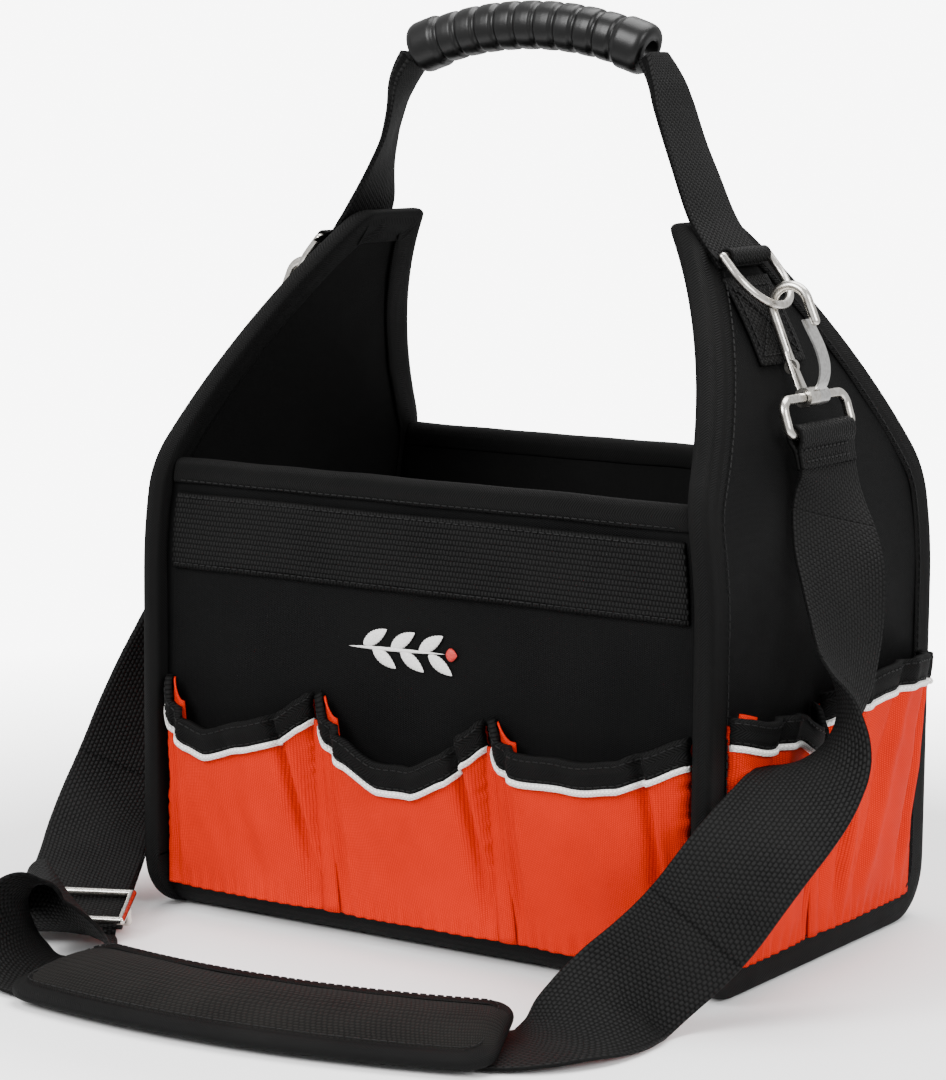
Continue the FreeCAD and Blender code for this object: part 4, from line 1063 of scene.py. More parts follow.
@dataclass
class Pocket:
    """One cloth pocket with its mouth tape and piping."""

    face: Face
    number: int
    cut: Cut
    bulge: float
    finishes: Finishes
    low: float = 0.0135
    foot_height: float = 0.015
    full_height: float = 0.135
    tape: float = 0.012
    edge_share: float = 0.08
    fold_height: float = 0.018
    fold_shares: tuple[float, float] = (0.01, 0.085)
    pleat: float = 0.009
    flat_length: float = 0.10
    divisions: int = 72

    def set_out(self, along_wall: float, out: float, height: float) -> Vector:
        """Point at a distance along and out from this pocket's wall."""
        if self.face is Face.FRONT:
            return Vector((along_wall, -WALL_Y - out, height))
        if self.face is Face.BACK:
            return Vector((-along_wall, WALL_Y + out, height))
        if self.face is Face.RIGHT:
            return Vector((HALF_WIDTH + out, along_wall, height))
        return Vector((-HALF_WIDTH - out, -along_wall, height))

    @property
    def outward(self) -> Vector:
        """Direction out from the wall."""
        return self.set_out(0.0, 1.0, 0.0) - self.set_out(0.0, 0.0, 0.0)

    @property
    def sideways(self) -> Vector:
        """Direction along the wall."""
        return self.set_out(1.0, 0.0, 0.0) - self.set_out(0.0, 0.0, 0.0)

    def part(self, height: float) -> float:
        """Share of the way up the pocket at a height."""
        return (height - self.foot_height) / (self.full_height - self.foot_height)

    def side_at(self, end: int, height: float) -> float:
        """Place along the wall of the pocket's first or last side at a height."""
        return self.cut.foot[end] + (self.cut.mouth[end] - self.cut.foot[end]) * self.part(height)

    def seed(self) -> float:
        """Number that makes each pocket's wrinkles its own."""
        return 40.0 + 3.0 * self.number + 11.0 * list(Face).index(self.face)

    def rim(self, across: float) -> float:
        """Height of the mouth."""
        return between(self.cut.rim, across) + 0.0012 * rough(across * 0.09, 0.0, 0.02, self.seed())

    def at(self, across: float, height: float, above: float = 0.0) -> Vector:
        """Point of the pocket's outer face.

        Args:
            across: Share across the pocket.
            height: Height over the floor.
            above: Distance out from the cloth.

        Returns:
            The point.
        """
        start, end = self.side_at(0, height), self.side_at(1, height)
        depth = between(((0.0, 0.0042), (0.5, 0.62 * self.bulge), (1.0, self.bulge)), self.part(height))
        profile = max(1.0 - abs(2 * across - 1) ** 3.2, 0.0) ** 0.55
        share = (height - self.low) / max(self.rim(across) - self.low, 0.01)
        edge = smooth(across / self.edge_share) * smooth((1 - across) / self.edge_share)
        out = depth * profile
        for top, low, width, deep in self.cut.creases:
            off = across - (low + (top - low) * share)
            out -= deep * math.exp(-(off / width) ** 2) * smooth(share / 0.25) * edge
            out += 0.5 * deep * math.exp(-((off - 1.5 * width) / width) ** 2) * smooth(share / 0.3) * edge
        s = start + (end - start) * across
        out += 0.0011 * edge * rough(s, height, 0.026, self.seed())
        out += 0.0006 * edge * rough(s + 0.4 * height, height * 0.5, 0.010, self.seed() + 1)
        out += 0.0006 * math.sin(s * 950.0 + 3 * rough(s, 0.0, 0.02, 3.0)) * (1 - smooth((height - self.low) / 0.016))
        s += 0.0016 * rough(height, share, 0.03, self.seed() + 2) * (1 - edge) * smooth(share * 2)
        return self.set_out(s, max(out, 0.0016) + above, height)

    def node(self) -> str:
        """Name of the pocket's solid in the frame."""
        return f"{self.face.value}_pocket_{self.number}"

    def cloth(self) -> Piece:
        """Orange cloth of the pocket."""
        def place(across: float, along: float) -> Vector:
            """Point of the outer face."""
            return self.at(across, self.low + along * (self.rim(across) - 0.004 - self.low))

        bm = bmesh.new()
        flat = (self.cut.mouth[1] - self.cut.mouth[0], self.flat_length)
        lay(bm, Cells(self.divisions, self.divisions), flat, place, self.outward)
        piece = finished(self.node() + "_cloth", bm, self.finishes.orange, 0.0011)
        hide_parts(self.node())
        return piece

    def lay_tape(self, bm: Mesh) -> None:
        """Add this pocket's mouth tape to a mesh."""
        def place(across: float, along: float) -> Vector:
            """Point of the tape's outer face."""
            crown = 0.0005 * math.sin(math.pi * along)
            return self.at(across, self.rim(across) - self.tape * (1 - along), 0.0011 + crown)

        lay(bm, Cells(self.divisions, 6), (self.flat_length, self.tape), place, self.outward,
            lambda across, along: (along * self.tape, across * self.flat_length))

    def lay_gusset(self, bm: Mesh) -> None:
        """Add the folded side of this pocket, which shows inside its mouth, to a mesh."""
        first, span = self.fold_shares

        def place(across: float, along: float) -> Vector:
            """Point of the folded side."""
            share = first + span * across
            point = self.at(share, self.rim(share) - self.fold_height + (self.fold_height + 0.0005) * along)
            return point + self.sideways * (0.0044 + 0.001 * along) - self.outward * (0.003 * across)

        lay(bm, Cells(10, 8), (0.02, self.fold_height), place, self.sideways)

    def lay_pleat(self, bm: Mesh) -> None:
        """Add the cloth that closes the gap at this pocket's left edge to a mesh."""
        def place(across: float, along: float) -> Vector:
            """Point of the pleat."""
            height = self.low + (self.cut.rim[0][1] - self.tape - self.low) * along
            place_along = self.side_at(0, height) - 0.005 + self.pleat * across
            return self.set_out(place_along, 0.0028 + 0.0012 * math.sin(math.pi * across), height)

        lay(bm, Cells(6, 24), (self.pleat, self.flat_length), place, self.outward)

    def piping_path(self) -> list[Station]:
        """Stations of the piping under the tape."""
        stations = []
        for index in range(self.divisions + 1):
            across = 0.004 + 0.992 * index / self.divisions
            height = self.rim(across) - self.tape - 0.0012
            stations.append(Station(self.at(across, height, 0.0012), self.outward, Vector((0, 0, 1))))
        return stations

    def seam_rows(self) -> list[list[Vector]]:
        """Rows of stitches along the mouth tape."""
        shares = [0.01 + 0.98 * index / 60 for index in range(61)]
        return [[self.at(share, self.rim(share) - drop, 0.0016) for share in shares] for drop in (0.0105, 0.0022)]


@dataclass
class Pockets:
    """All the pockets round the bag."""

    finishes: Finishes
    front_bulge: float = 0.020
    side_bulge: float = 0.018

    def all(self) -> list[Pocket]:
        """Every pocket, side by side."""
        mirrored = tuple(turned(cut) for cut in reversed(SIDE_CUTS))
        rows = ((Face.FRONT, FRONT_CUTS, self.front_bulge), (Face.BACK, FRONT_CUTS, self.front_bulge),
                (Face.RIGHT, SIDE_CUTS, self.side_bulge), (Face.LEFT, mirrored, self.side_bulge))
        return [Pocket(face, number, cut, bulge, self.finishes) for face, cuts, bulge in rows
                for number, cut in enumerate(cuts, start=1)]

    def build(self) -> None:
        """Make the pockets and fix them to the bag."""
        pockets = self.all()
        pieces = [pocket.cloth() for pocket in pockets]
        for face in Face:
            bm = bmesh.new()
            for pocket in pockets:
                if pocket.face is face:
                    pocket.lay_tape(bm)
            tape = finished(face.value + "_mouth_tape", bm, self.finishes.binding, 0.0033, -1.0)
            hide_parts(face.value + "_pocket_tape")
            pieces.append(tape)
        bm = bmesh.new()
        for pocket in pockets:
            pocket.lay_gusset(bm)
            if pocket.number > 1:
                pocket.lay_pleat(bm)
        folds = finished("pocket_side_folds", bm, self.finishes.orange, 0.0008)
        pieces.append(folds)
        bm = bmesh.new()
        ring = superellipse(0.0015, 0.0015, 2.0, 10)
        for pocket in pockets:
            sweep(bm, pocket.piping_path(), ring)
        close_ends(bm)
        piping = finished("pocket_white_piping", bm, self.finishes.piping, closed=True)
        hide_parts("pocket_piping")
        rows = [row for pocket in pockets for row in pocket.seam_rows()]
        seams = stitched("pocket_seams", rows, self.finishes.thread, size=0.0003)
        for piece in (*pieces, piping, seams):
            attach(piece, "bag")
            LOG.info("pocket piece %s", piece.name)


# Emblem -------------------------------------------------------------------------------------------
@dataclass
class Emblem:
    """A small embroidered sprig with a berry on the front wall."""

    finishes: Finishes
    start: tuple[float, float] = (-0.038, 0.137)
    length: float = 0.052
    leaf_length: float = 0.015
    leaf_width: float = 0.006

    def spindle(self, bm: Mesh, foot: Vector, tip: Vector, width: float, lift: float) -> None:
        """Add a raised leaf of satin stitch between two points of the wall."""
        ahead = tip - foot
        side = Vector((-ahead.z, 0, ahead.x)).normalized()

        def place(across: float, along: float) -> Vector:
            """Point of the leaf."""
            turn = 2 * math.pi * across
            swell = math.sin(math.pi * along ** 0.85) ** 0.8 if 0 < along < 1 else 0.0
            comb = 1 + 0.06 * math.sin(along * 60)
            return (foot + ahead * along + side * (math.cos(turn) * width / 2 * swell * comb)
                    + Vector((0, math.sin(turn) * lift * swell, 0)))

        lay(bm, Cells(12, 30), (width, ahead.length), place)

    def build(self) -> None:
        """Make the embroidery and fix it to the bag."""
        def spot(along: float, up: float) -> Vector:
            """Point of the wall near the stem."""
            return Vector((self.start[0] + along, -WALL_Y - 0.0007, self.start[1] + up))

        bm = bmesh.new()
        self.spindle(bm, spot(0, -0.0008), spot(self.length, 0.0006), 0.0017, 0.0007)
        for index in range(3):
            foot = 0.008 + 0.015 * index
            for step, sign in ((0.0, 1.0), (0.005, -1.0)):
                base = spot(foot + step, sign * 0.0006)
                turn = math.radians(32) * sign
                tip = base + Vector((math.cos(turn), 0, math.sin(turn))) * self.leaf_length
                self.spindle(bm, base, tip, self.leaf_width, 0.0008)
        sprig = finished("embroidered_sprig", bm, self.finishes.white_thread, closed=True)
        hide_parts("front_emblem")
        bm = bmesh.new()
        self.spindle(bm, spot(self.length + 0.0003, 0.0006), spot(self.length + 0.0063, 0.0006), 0.006, 0.0011)
        berry = finished("embroidered_berry", bm, self.finishes.red_thread, closed=True)
        for piece in (sprig, berry):
            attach(piece, "bag")
            LOG.info("emblem piece %s", piece.name)


# Bands of webbing ---------------------------------------------------------------------------------
class BandPoint(NamedTuple):
    """A point of a band's route: its middle, the direction across, and its width and thickness shares."""

    centre: Point
    across: Point
    width: float = 1.0
    thick: float = 1.0


class BandFrame(NamedTuple):
    """A worked-out cross section of a band."""

    place: float
    centre: Vector
    across: Vector
    normal: Vector
    width: float
    thick: float


def level(degrees: float) -> Point:
    """A level direction at an angle from +X."""
    return (math.cos(math.radians(degrees)), math.sin(math.radians(degrees)), 0.0)


def level_points(*points: tuple[float, float, float, float]) -> list[BandPoint]:
    """Route points whose webbing is level from edge to edge, each a place and the angle of that direction."""
    return [BandPoint((x, y, z), level(turn)) for x, y, z, turn in points]


def band_frames(name: str, points: Sequence[BandPoint], resolution: int) -> list[BandFrame]:
    """Cross sections along a band's smooth line.

    Args:
        name: Name of the band.
        points: Its route.
        resolution: Sections for each step of the route.

    Returns:
        The sections, each with its place counted in points of the route.
    """
    line = smooth_line(name, [point.centre for point in points], resolution)
    last, spans = len(line) - 1, len(points) - 2
    raw: list[tuple[float, Vector, Vector, float, float]] = []
    for index, centre in enumerate(line):
        at = spans * index / last
        if at < 0.5:
            place = 2 * at
        elif at > spans - 0.5:
            place = spans + 1 - 2 * (spans - at)
        else:
            place = at + 0.5
        first = min(int(place), len(points) - 2)
        share = place - first
        low, high = points[first], points[first + 1]
        raw.append((place, centre, Vector(low.across).lerp(Vector(high.across), share),
                    low.width + (high.width - low.width) * share, low.thick + (high.thick - low.thick) * share))
    across = [item[2].normalized() for item in raw]
    for _ in range(10):
        across = [across[0]] + [(across[i - 1] + 2 * across[i] + across[i + 1]).normalized()
                                for i in range(1, last)] + [across[-1]]
    frames = []
    for index, (place, centre, _, width, thick) in enumerate(raw):
        ahead = (line[min(index + 1, last)] - line[max(index - 1, 0)]).normalized()
        wide = (across[index] - ahead * across[index].dot(ahead)).normalized()
        frames.append(BandFrame(place, centre, wide, wide.cross(ahead), width, thick))
    return frames


def band_section(steps: int = 16) -> list[tuple[float, float]]:
    """Outline of flat webbing with eased edges, in shares of its width and thickness."""
    half = [(-0.5, -0.22), (-0.492, -0.5)] + [(-0.5 + part / steps, -0.5) for part in range(1, steps)]
    half += [(0.492, -0.5), (0.5, -0.22)]
    return half + [(-side, -up) for side, up in half]


BAND_SECTION = band_section()


def band(name: str, layers: Sequence[Sequence[BandFrame]], width: float, thickness: float,
         material: Finish, cup: float = 0.0, sway: float = 0.0) -> Piece:
    """Webbing that follows cross sections.

    Args:
        name: Name of the piece.
        layers: Cross sections of each layer.
        width: Width of the webbing.
        thickness: Its thickness.
        material: Its finish.
        cup: How far its middle stands proud of its edges.
        sway: Size of the waves along it.

    Returns:
        The piece.
    """
    bm = bmesh.new()
    count = len(BAND_SECTION)
    for frames in layers:
        last = len(frames) - 1
        lengths = running([item.centre for item in frames])

        def place(across: float, along: float, frames: Sequence[BandFrame] = frames, last: int = last) -> Vector:
            """Point of the webbing's skin."""
            here = frames[round(along * last)]
            side, up = BAND_SECTION[round(across * count) % count]
            hollow = cup * (1 - (2 * side) ** 2)
            wave = sway * rough(here.centre.x + side * width, here.centre.z, 0.02, here.centre.y * 30)
            return (here.centre + here.across * (side * width * here.width)
                    + here.normal * (up * thickness * here.thick + hollow + wave))

        def mapped(across: float, along: float, lengths: Sequence[float] = lengths, last: int = last) \
                -> tuple[float, float]:
            """Flat place of the webbing."""
            side, up = BAND_SECTION[round(across * count) % count]
            shift = 0.0 if up <= 0 else 0.2
            return side * width + shift, lengths[round(along * last)]

        seen = set(bm.verts)
        lay(bm, Cells(count, last), (1, 1), place, None, mapped)
        bmesh.ops.remove_doubles(bm, verts=[vert for vert in bm.verts if vert not in seen], dist=SAME_POINT)
    close_ends(bm)
    return finished(name, bm, material, closed=True)


def part_of(frames: Sequence[BandFrame], first: float, last: float) -> list[BandFrame]:
    """The cross sections from one point of the route to another, ending on the nearest ones."""
    start, end = (min(range(len(frames)), key=lambda index: abs(frames[index].place - at)) for at in (first, last))
    return list(frames[start:end + 1])


def folded(name: str, centre: Vector, axis: Vector, down: Vector, radius: float, length: float, width: float,
           thickness: float, material: Finish) -> Piece:
    """Webbing folded round a bar and sewn to itself.

    Args:
        name: Name of the piece.
        centre: Middle of the bar.
        axis: Direction of the bar.
        down: Direction in which the sewn end hangs.
        radius: Radius of the webbing's middle round the bar.
        length: Length of the sewn end.
        width: Width of the webbing.
        thickness: Its thickness.
        material: Its finish.

    Returns:
        The piece.
    """
    out = axis.cross(down).normalized()
    side: list[tuple[float, float]] = [(length, thickness * 0.52), (length * 0.75, thickness * 0.54),
                                       (length * 0.45, thickness * 0.7), (length * 0.18, radius * 0.92)]
    turn = [(-radius * math.sin(a), radius * math.cos(a)) for a in (math.pi * step / 10 for step in range(11))]
    path = side + turn + [(a, -b) for a, b in reversed(side)]
    line = [centre + down * a + out * b for a, b in path]

    def place(across: float, along: float) -> Vector:
        """Point of the webbing's middle."""
        return along_line(line, along) + axis * ((across - 0.5) * width)

    bm = bmesh.new()
    lay(bm, Cells(20, 44), (width, length_of(line)), place)
    return finished(name, bm, material, thickness, 0.0)


# Carrying handle ----------------------------------------------------------------------------------
@dataclass
class Handle:
    """Moulded arched grip on two webbing legs."""

    finishes: Finishes
    middle_x: float = -0.004
    half_length: float = 0.062
    rise: float = 0.0115
    height: float = 0.400
    core: float = 0.0098
    collar: float = 0.0120
    bore: float = 0.0052
    lip: float = 0.0092
    collar_share: float = 0.125
    ribs: int = 9

    def leg_points(self, side: str) -> list[BandPoint]:
        """Route of one leg from the end panel up into the grip."""
        sign = 1.0 if side == "right" else -1.0
        start = [BandPoint((sign * (lean_x(h) + lean_normal(h).x * LEG_LIFT), HARDWARE_Y,
                            h + lean_normal(h).z * LEG_LIFT), level(90)) for h in (0.3055, 0.312, 0.318)]
        if side == "right":
            rest = [((0.0905, 0.329), 90, 1.0, 1.0), ((0.0835, 0.345), 92, 1.0, 1.0),
                    ((0.0765, 0.361), 94, 0.96, 1.1), ((0.071, 0.376), 92, 0.86, 1.4),
                    ((0.066, 0.389), 90, 0.62, 2.2), ((0.0595, 0.3975), 90, 0.42, 3.4)]
        else:
            rest = [((-0.092, 0.3295), 95, 1.0, 1.0), ((-0.088, 0.345), 108, 1.0, 1.0),
                    ((-0.082, 0.361), 117, 0.96, 1.1), ((-0.0775, 0.376), 114, 0.86, 1.4),
                    ((-0.0735, 0.389), 100, 0.62, 2.2), ((-0.0675, 0.3975), 90, 0.42, 3.4)]
        return start + [BandPoint((x, HARDWARE_Y, z), level(turn), wide, thick) for (x, z), turn, wide, thick in rest]

    def leg(self, side: str) -> Piece:
        """One webbing leg."""
        frames = band_frames(side + "_leg_line", self.leg_points(side), 10)
        piece = band(side + "_handle_webbing", [frames], CARRY_WIDTH, 0.0022, self.finishes.webbing, 0.0006, 0.0004)
        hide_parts("handle_leg_" + side)
        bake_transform(piece)
        return piece

    def radius(self, share: float) -> float:
        """Outer radius of the grip at a share of its length."""
        collar = self.collar_share
        if share < collar or share > 1 - collar:
            inner = min(share, 1 - share) / collar
            rounding = math.sqrt(max(1 - (1 - min(inner / 0.28, 1.0)) ** 2, 0.0))
            shoulder = 1 - 0.10 * smooth((inner - 0.8) / 0.2)
            return (self.lip + (self.collar - self.lip) * rounding) * shoulder
        inside = (share - collar) / (1 - 2 * collar) * self.ribs
        phase = abs((inside % 1.0) - 0.5) * 2
        return self.core + 0.0013 * (1 - smooth((phase - 0.62) / 0.3)) - 0.0002 * phase

    def grip(self) -> Piece:
        """The moulded grip with two collars and nine ribs."""
        arc = (self.half_length ** 2 + self.rise ** 2) / (2 * self.rise)
        reach = math.asin(self.half_length / arc)
        centre = Vector((self.middle_x, HARDWARE_Y, self.height + self.rise - arc))
        count = 220
        outside = [(math.pi / 2 + reach - 2 * reach * (index / count), self.radius(index / count))
                   for index in range(count + 1)]
        profile = [(math.pi / 2 + reach * 0.9, self.bore - 0.0002), (outside[0][0], self.bore), *outside,
                   (outside[-1][0], self.bore), (math.pi / 2 - reach * 0.9, self.bore - 0.0002)]
        last = len(profile) - 1

        def place(across: float, along: float) -> Vector:
            """Point of the grip's skin."""
            turn, radius = profile[round(along * last)]
            spin = 2 * math.pi * across
            out = Vector((math.cos(turn), 0, math.sin(turn)))
            flat = 1 - 0.06 * abs(math.sin(spin))
            return centre + out * (arc + radius * math.cos(spin)) + Vector((0, radius * math.sin(spin) * flat, 0))

        bm = bmesh.new()
        lay(bm, Cells(40, last), (0.07, 0.14), place)
        bmesh.ops.remove_doubles(bm, verts=bm.verts, dist=SAME_POINT)
        close_ends(bm)
        piece = finished("moulded_handle_grip", bm, self.finishes.grip, closed=True)
        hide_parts("handle_grip")
        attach(piece, "handle")
        return piece

    def build(self) -> None:
        """Make the handle."""
        for piece in (self.grip(), self.leg("right"), self.leg("left")):
            LOG.info("handle piece %s", piece.name)


# Shoulder strap -----------------------------------------------------------------------------------
def hanging(slope: float) -> Vector:
    """Direction of a piece that hangs outwards at a slope from straight down."""
    return Vector((math.sin(math.radians(slope)), 0.0, -math.cos(math.radians(slope))))


LOOP_BAR = Vector((0.14314, HARDWARE_Y, 0.25210))
FOLD_BAR = LOOP_BAR + hanging(17.5) * 0.015
STRAP_END = FOLD_BAR + hanging(13) * 0.015
LEAD = STRAP_END + hanging(13) * 0.007
LAYER = 0.00175
HALF_LAYER = 0.0009
SLIDER_AT = Vector((-0.1527, -0.1565, 0.010))
SLIDER_ACROSS = Vector((-0.9, -0.44, 0.0))
SLIDER_ALONG = Vector((-0.42, 0.86, 0.29))


def by_slider(along: float, drop: float = 0.0) -> BandPoint:
    """A point of the straight webbing at the slider, so far along it from the slider's middle."""
    normal = SLIDER_ALONG.cross(SLIDER_ACROSS).normalized()
    return BandPoint(tuple(SLIDER_AT + SLIDER_ALONG * along - normal * drop), tuple(SLIDER_ACROSS))


RIGHT_DROP = [
    BandPoint(tuple(STRAP_END), level(90)), BandPoint(tuple(LEAD), level(90)),
    *level_points((0.157, -0.009, 0.201, 76), (0.165, -0.017, 0.184, 70), (0.173, -0.026, 0.160, 80),
                  (0.179, -0.036, 0.136, 94), (0.184, -0.053, 0.114, 123)),
    BandPoint((0.186, -0.092, 0.093), (-0.75, 0.35, 0.55)),
    BandPoint((0.177, -0.119, 0.071), (-0.8, -0.05, 0.65)), BandPoint((0.161, -0.129, 0.043), (-0.72, -0.3, 0.63)),
]
ON_FLOOR = [
    BandPoint((0.142, -0.144, 0.021), (-0.66, -0.44, 0.6)), BandPoint((0.138, -0.169, 0.0125), (-0.85, -0.4, 0.22)),
    BandPoint((0.131, -0.191, 0.005), (-0.7, 0.6, 0.08)), BandPoint((0.116, -0.206, 0.0019), (-0.3, 0.95, 0)),
    BandPoint((0.060, -0.224, 0.0019), (-0.2, 0.98, 0)), BandPoint((0.005, -0.232, 0.0019), (-0.06, 1, 0)),
    BandPoint((-0.050, -0.233, 0.0019), (0.04, 1, 0)), BandPoint((-0.104, -0.229, 0.0019), level(87)),
]
CURL = level_points(
    (-0.115, -0.228, 0.004, 88), (-0.126, -0.225, 0.010, 92), (-0.133, -0.218, 0.022, 97),
    (-0.133, -0.209, 0.033, 104), (-0.128, -0.201, 0.038, 116), (-0.123, -0.194, 0.034, 134),
    (-0.123, -0.188, 0.025, 156), (-0.128, -0.184, 0.016, 180), (-0.136, -0.179, 0.0095, 200),
)
LEFT_RISE = [
    by_slider(-0.018), by_slider(0.048),
    *level_points((-0.186, -0.093, 0.034, 212), (-0.187, -0.072, 0.055, 223), (-0.186, -0.055, 0.082, 235),
                  (-0.182, -0.038, 0.112, 246), (-0.176, -0.026, 0.140, 256), (-0.166, -0.015, 0.172, 264),
                  (-0.157, -0.007, 0.200, 270), (HALF_LAYER - LEAD.x, HARDWARE_Y, LEAD.z, 270),
                  (HALF_LAYER - STRAP_END.x, HARDWARE_Y, STRAP_END.z, 270)),
]
ROUTE = [*RIGHT_DROP, *ON_FLOOR, *CURL, *LEFT_RISE]
END = len(ROUTE) - 1
RISE_FROM = len(ROUTE) - 8
SECOND_FROM = len(ROUTE) - 10


def second_layer(first: int) -> list[BandPoint]:
    """Route of the doubled webbing outside the strap, from a point of the route to its left end."""
    centres = [Vector(point.centre) for point in ROUTE]
    shifted = []
    for index in range(first, len(ROUTE)):
        ahead = centres[min(index + 1, len(centres) - 1)] - centres[index - 1]
        normal = ahead.cross(Vector(ROUTE[index].across)).normalized()
        shifted.append(BandPoint(tuple(centres[index] - normal * LAYER), ROUTE[index].across))
    return shifted


@dataclass
class ShoulderStrap:
    """The webbing from hook to hook over the floor, its sewn ends, slider and doubled end."""

    finishes: Finishes
    thickness: float = 0.0017
    near: list[Piece] = field(default_factory=list)

    def webbing(self, name: str, layers: Sequence[Sequence[BandFrame]], *nodes: str) -> Piece:
        """One stretch of the strap that stands for CAD solids."""
        piece = band(name, layers, STRAP_WIDTH, self.thickness, self.finishes.webbing, 0.0005, 0.0003)
        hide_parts(*nodes)
        return piece

    def joined(self, piece: Piece, frames: Sequence[BandFrame]) -> None:
        """Bake a stretch's transform into its mesh; its end frames are read but not used."""
        tuple(frames[0].centre)
        tuple(frames[-1].centre)
        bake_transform(piece)

    def ends(self) -> None:
        """The sewn ends round the loops and the end round the slider's middle bar."""
        for side, sign in (("right", 1.0), ("left", -1.0)):
            down = hanging(13)
            centre = Vector((sign * FOLD_BAR.x, FOLD_BAR.y, FOLD_BAR.z))
            piece = folded(side + "_sewn_end", centre, Vector((0, 1, 0)), Vector((sign * down.x, 0, down.z)),
                           0.0033, 0.0155, STRAP_WIDTH, 0.0016, self.finishes.webbing)
            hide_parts(side + "_strap_end")
            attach(piece, side + "_loop")
            out = Vector((0, 1, 0)).cross(down).normalized()
            rows = []
            for drop in (0.0075, 0.0125):
                for face in (-1.0, 1.0):
                    spot = FOLD_BAR + down * drop + out * (face * 0.0022)
                    rows.append([Vector((sign * spot.x, spot.y + y, spot.z)) for y in (-0.022, 0.022)])
            seam = stitched(side + "_sewn_end_seams", rows, self.finishes.thread, size=0.0004)
            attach(seam, side + "_loop")
        up = SLIDER_ALONG.cross(SLIDER_ACROSS).normalized()
        fold = folded("slider_sewn_end", SLIDER_AT - up * 0.0049, SLIDER_ACROSS.normalized(),
                      SLIDER_ALONG.normalized(), 0.0029, 0.0150, STRAP_WIDTH, 0.0015, self.finishes.webbing)
        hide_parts("slider_fold")
        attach(fold, "slider")
        self.near.append(fold)

    def build(self, pad: Sequence[Piece]) -> None:
        main = band_frames("strap_line", ROUTE, 14)
        second = [by_slider(0.0156, 0.005), by_slider(0.032, 0.0026), *second_layer(SECOND_FROM)]
        outer = band_frames("doubled_line", second, 14)
        neck = part_of(main, 0, 2)
        self.joined(self.webbing("right_strap_neck", [neck], "strap_neck_right"), neck)
        drop = part_of(main, 2, 5)
        self.joined(self.webbing("right_strap_drop", [drop], "strap_drop_right"), drop)
        turn = part_of(main, 5, 9)
        self.near.append(self.webbing("right_strap_turn", [turn], "strap_turn_right"))
        self.joined(self.near[-1], turn)
        run = part_of(main, 9, RISE_FROM)
        floor = self.webbing("strap_along_floor", [run], "strap_floor_run")
        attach(floor, "bag")
        rise = part_of(main, RISE_FROM, END - 4)
        self.joined(self.webbing("left_strap_rise", [rise, part_of(outer, 4, 7)], "strap_rise_left"), rise)
        drop = part_of(main, END - 4, END - 2)
        self.joined(self.webbing("left_strap_drop", [drop, part_of(outer, 7, 9)], "strap_drop_left"), drop)
        neck = part_of(main, END - 2, END)
        self.joined(self.webbing("left_strap_neck", [neck, part_of(outer, 9, 11)], "strap_neck_left"), neck)
        back = part_of(outer, 0, 4)
        self.near.append(self.webbing("doubled_strap_run", [back], "strap_return_run"))
        self.joined(self.near[-1], back)
        self.ends()
        path = [tuple(item.centre) for item in run]
        length = sum(math.dist(before, after) for before, after in zip(path, path[1:]))
        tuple(path[0])
        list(self.near)
        LOG.info("strap on the floor %.3f m, %d pieces on it", length, len(self.near))


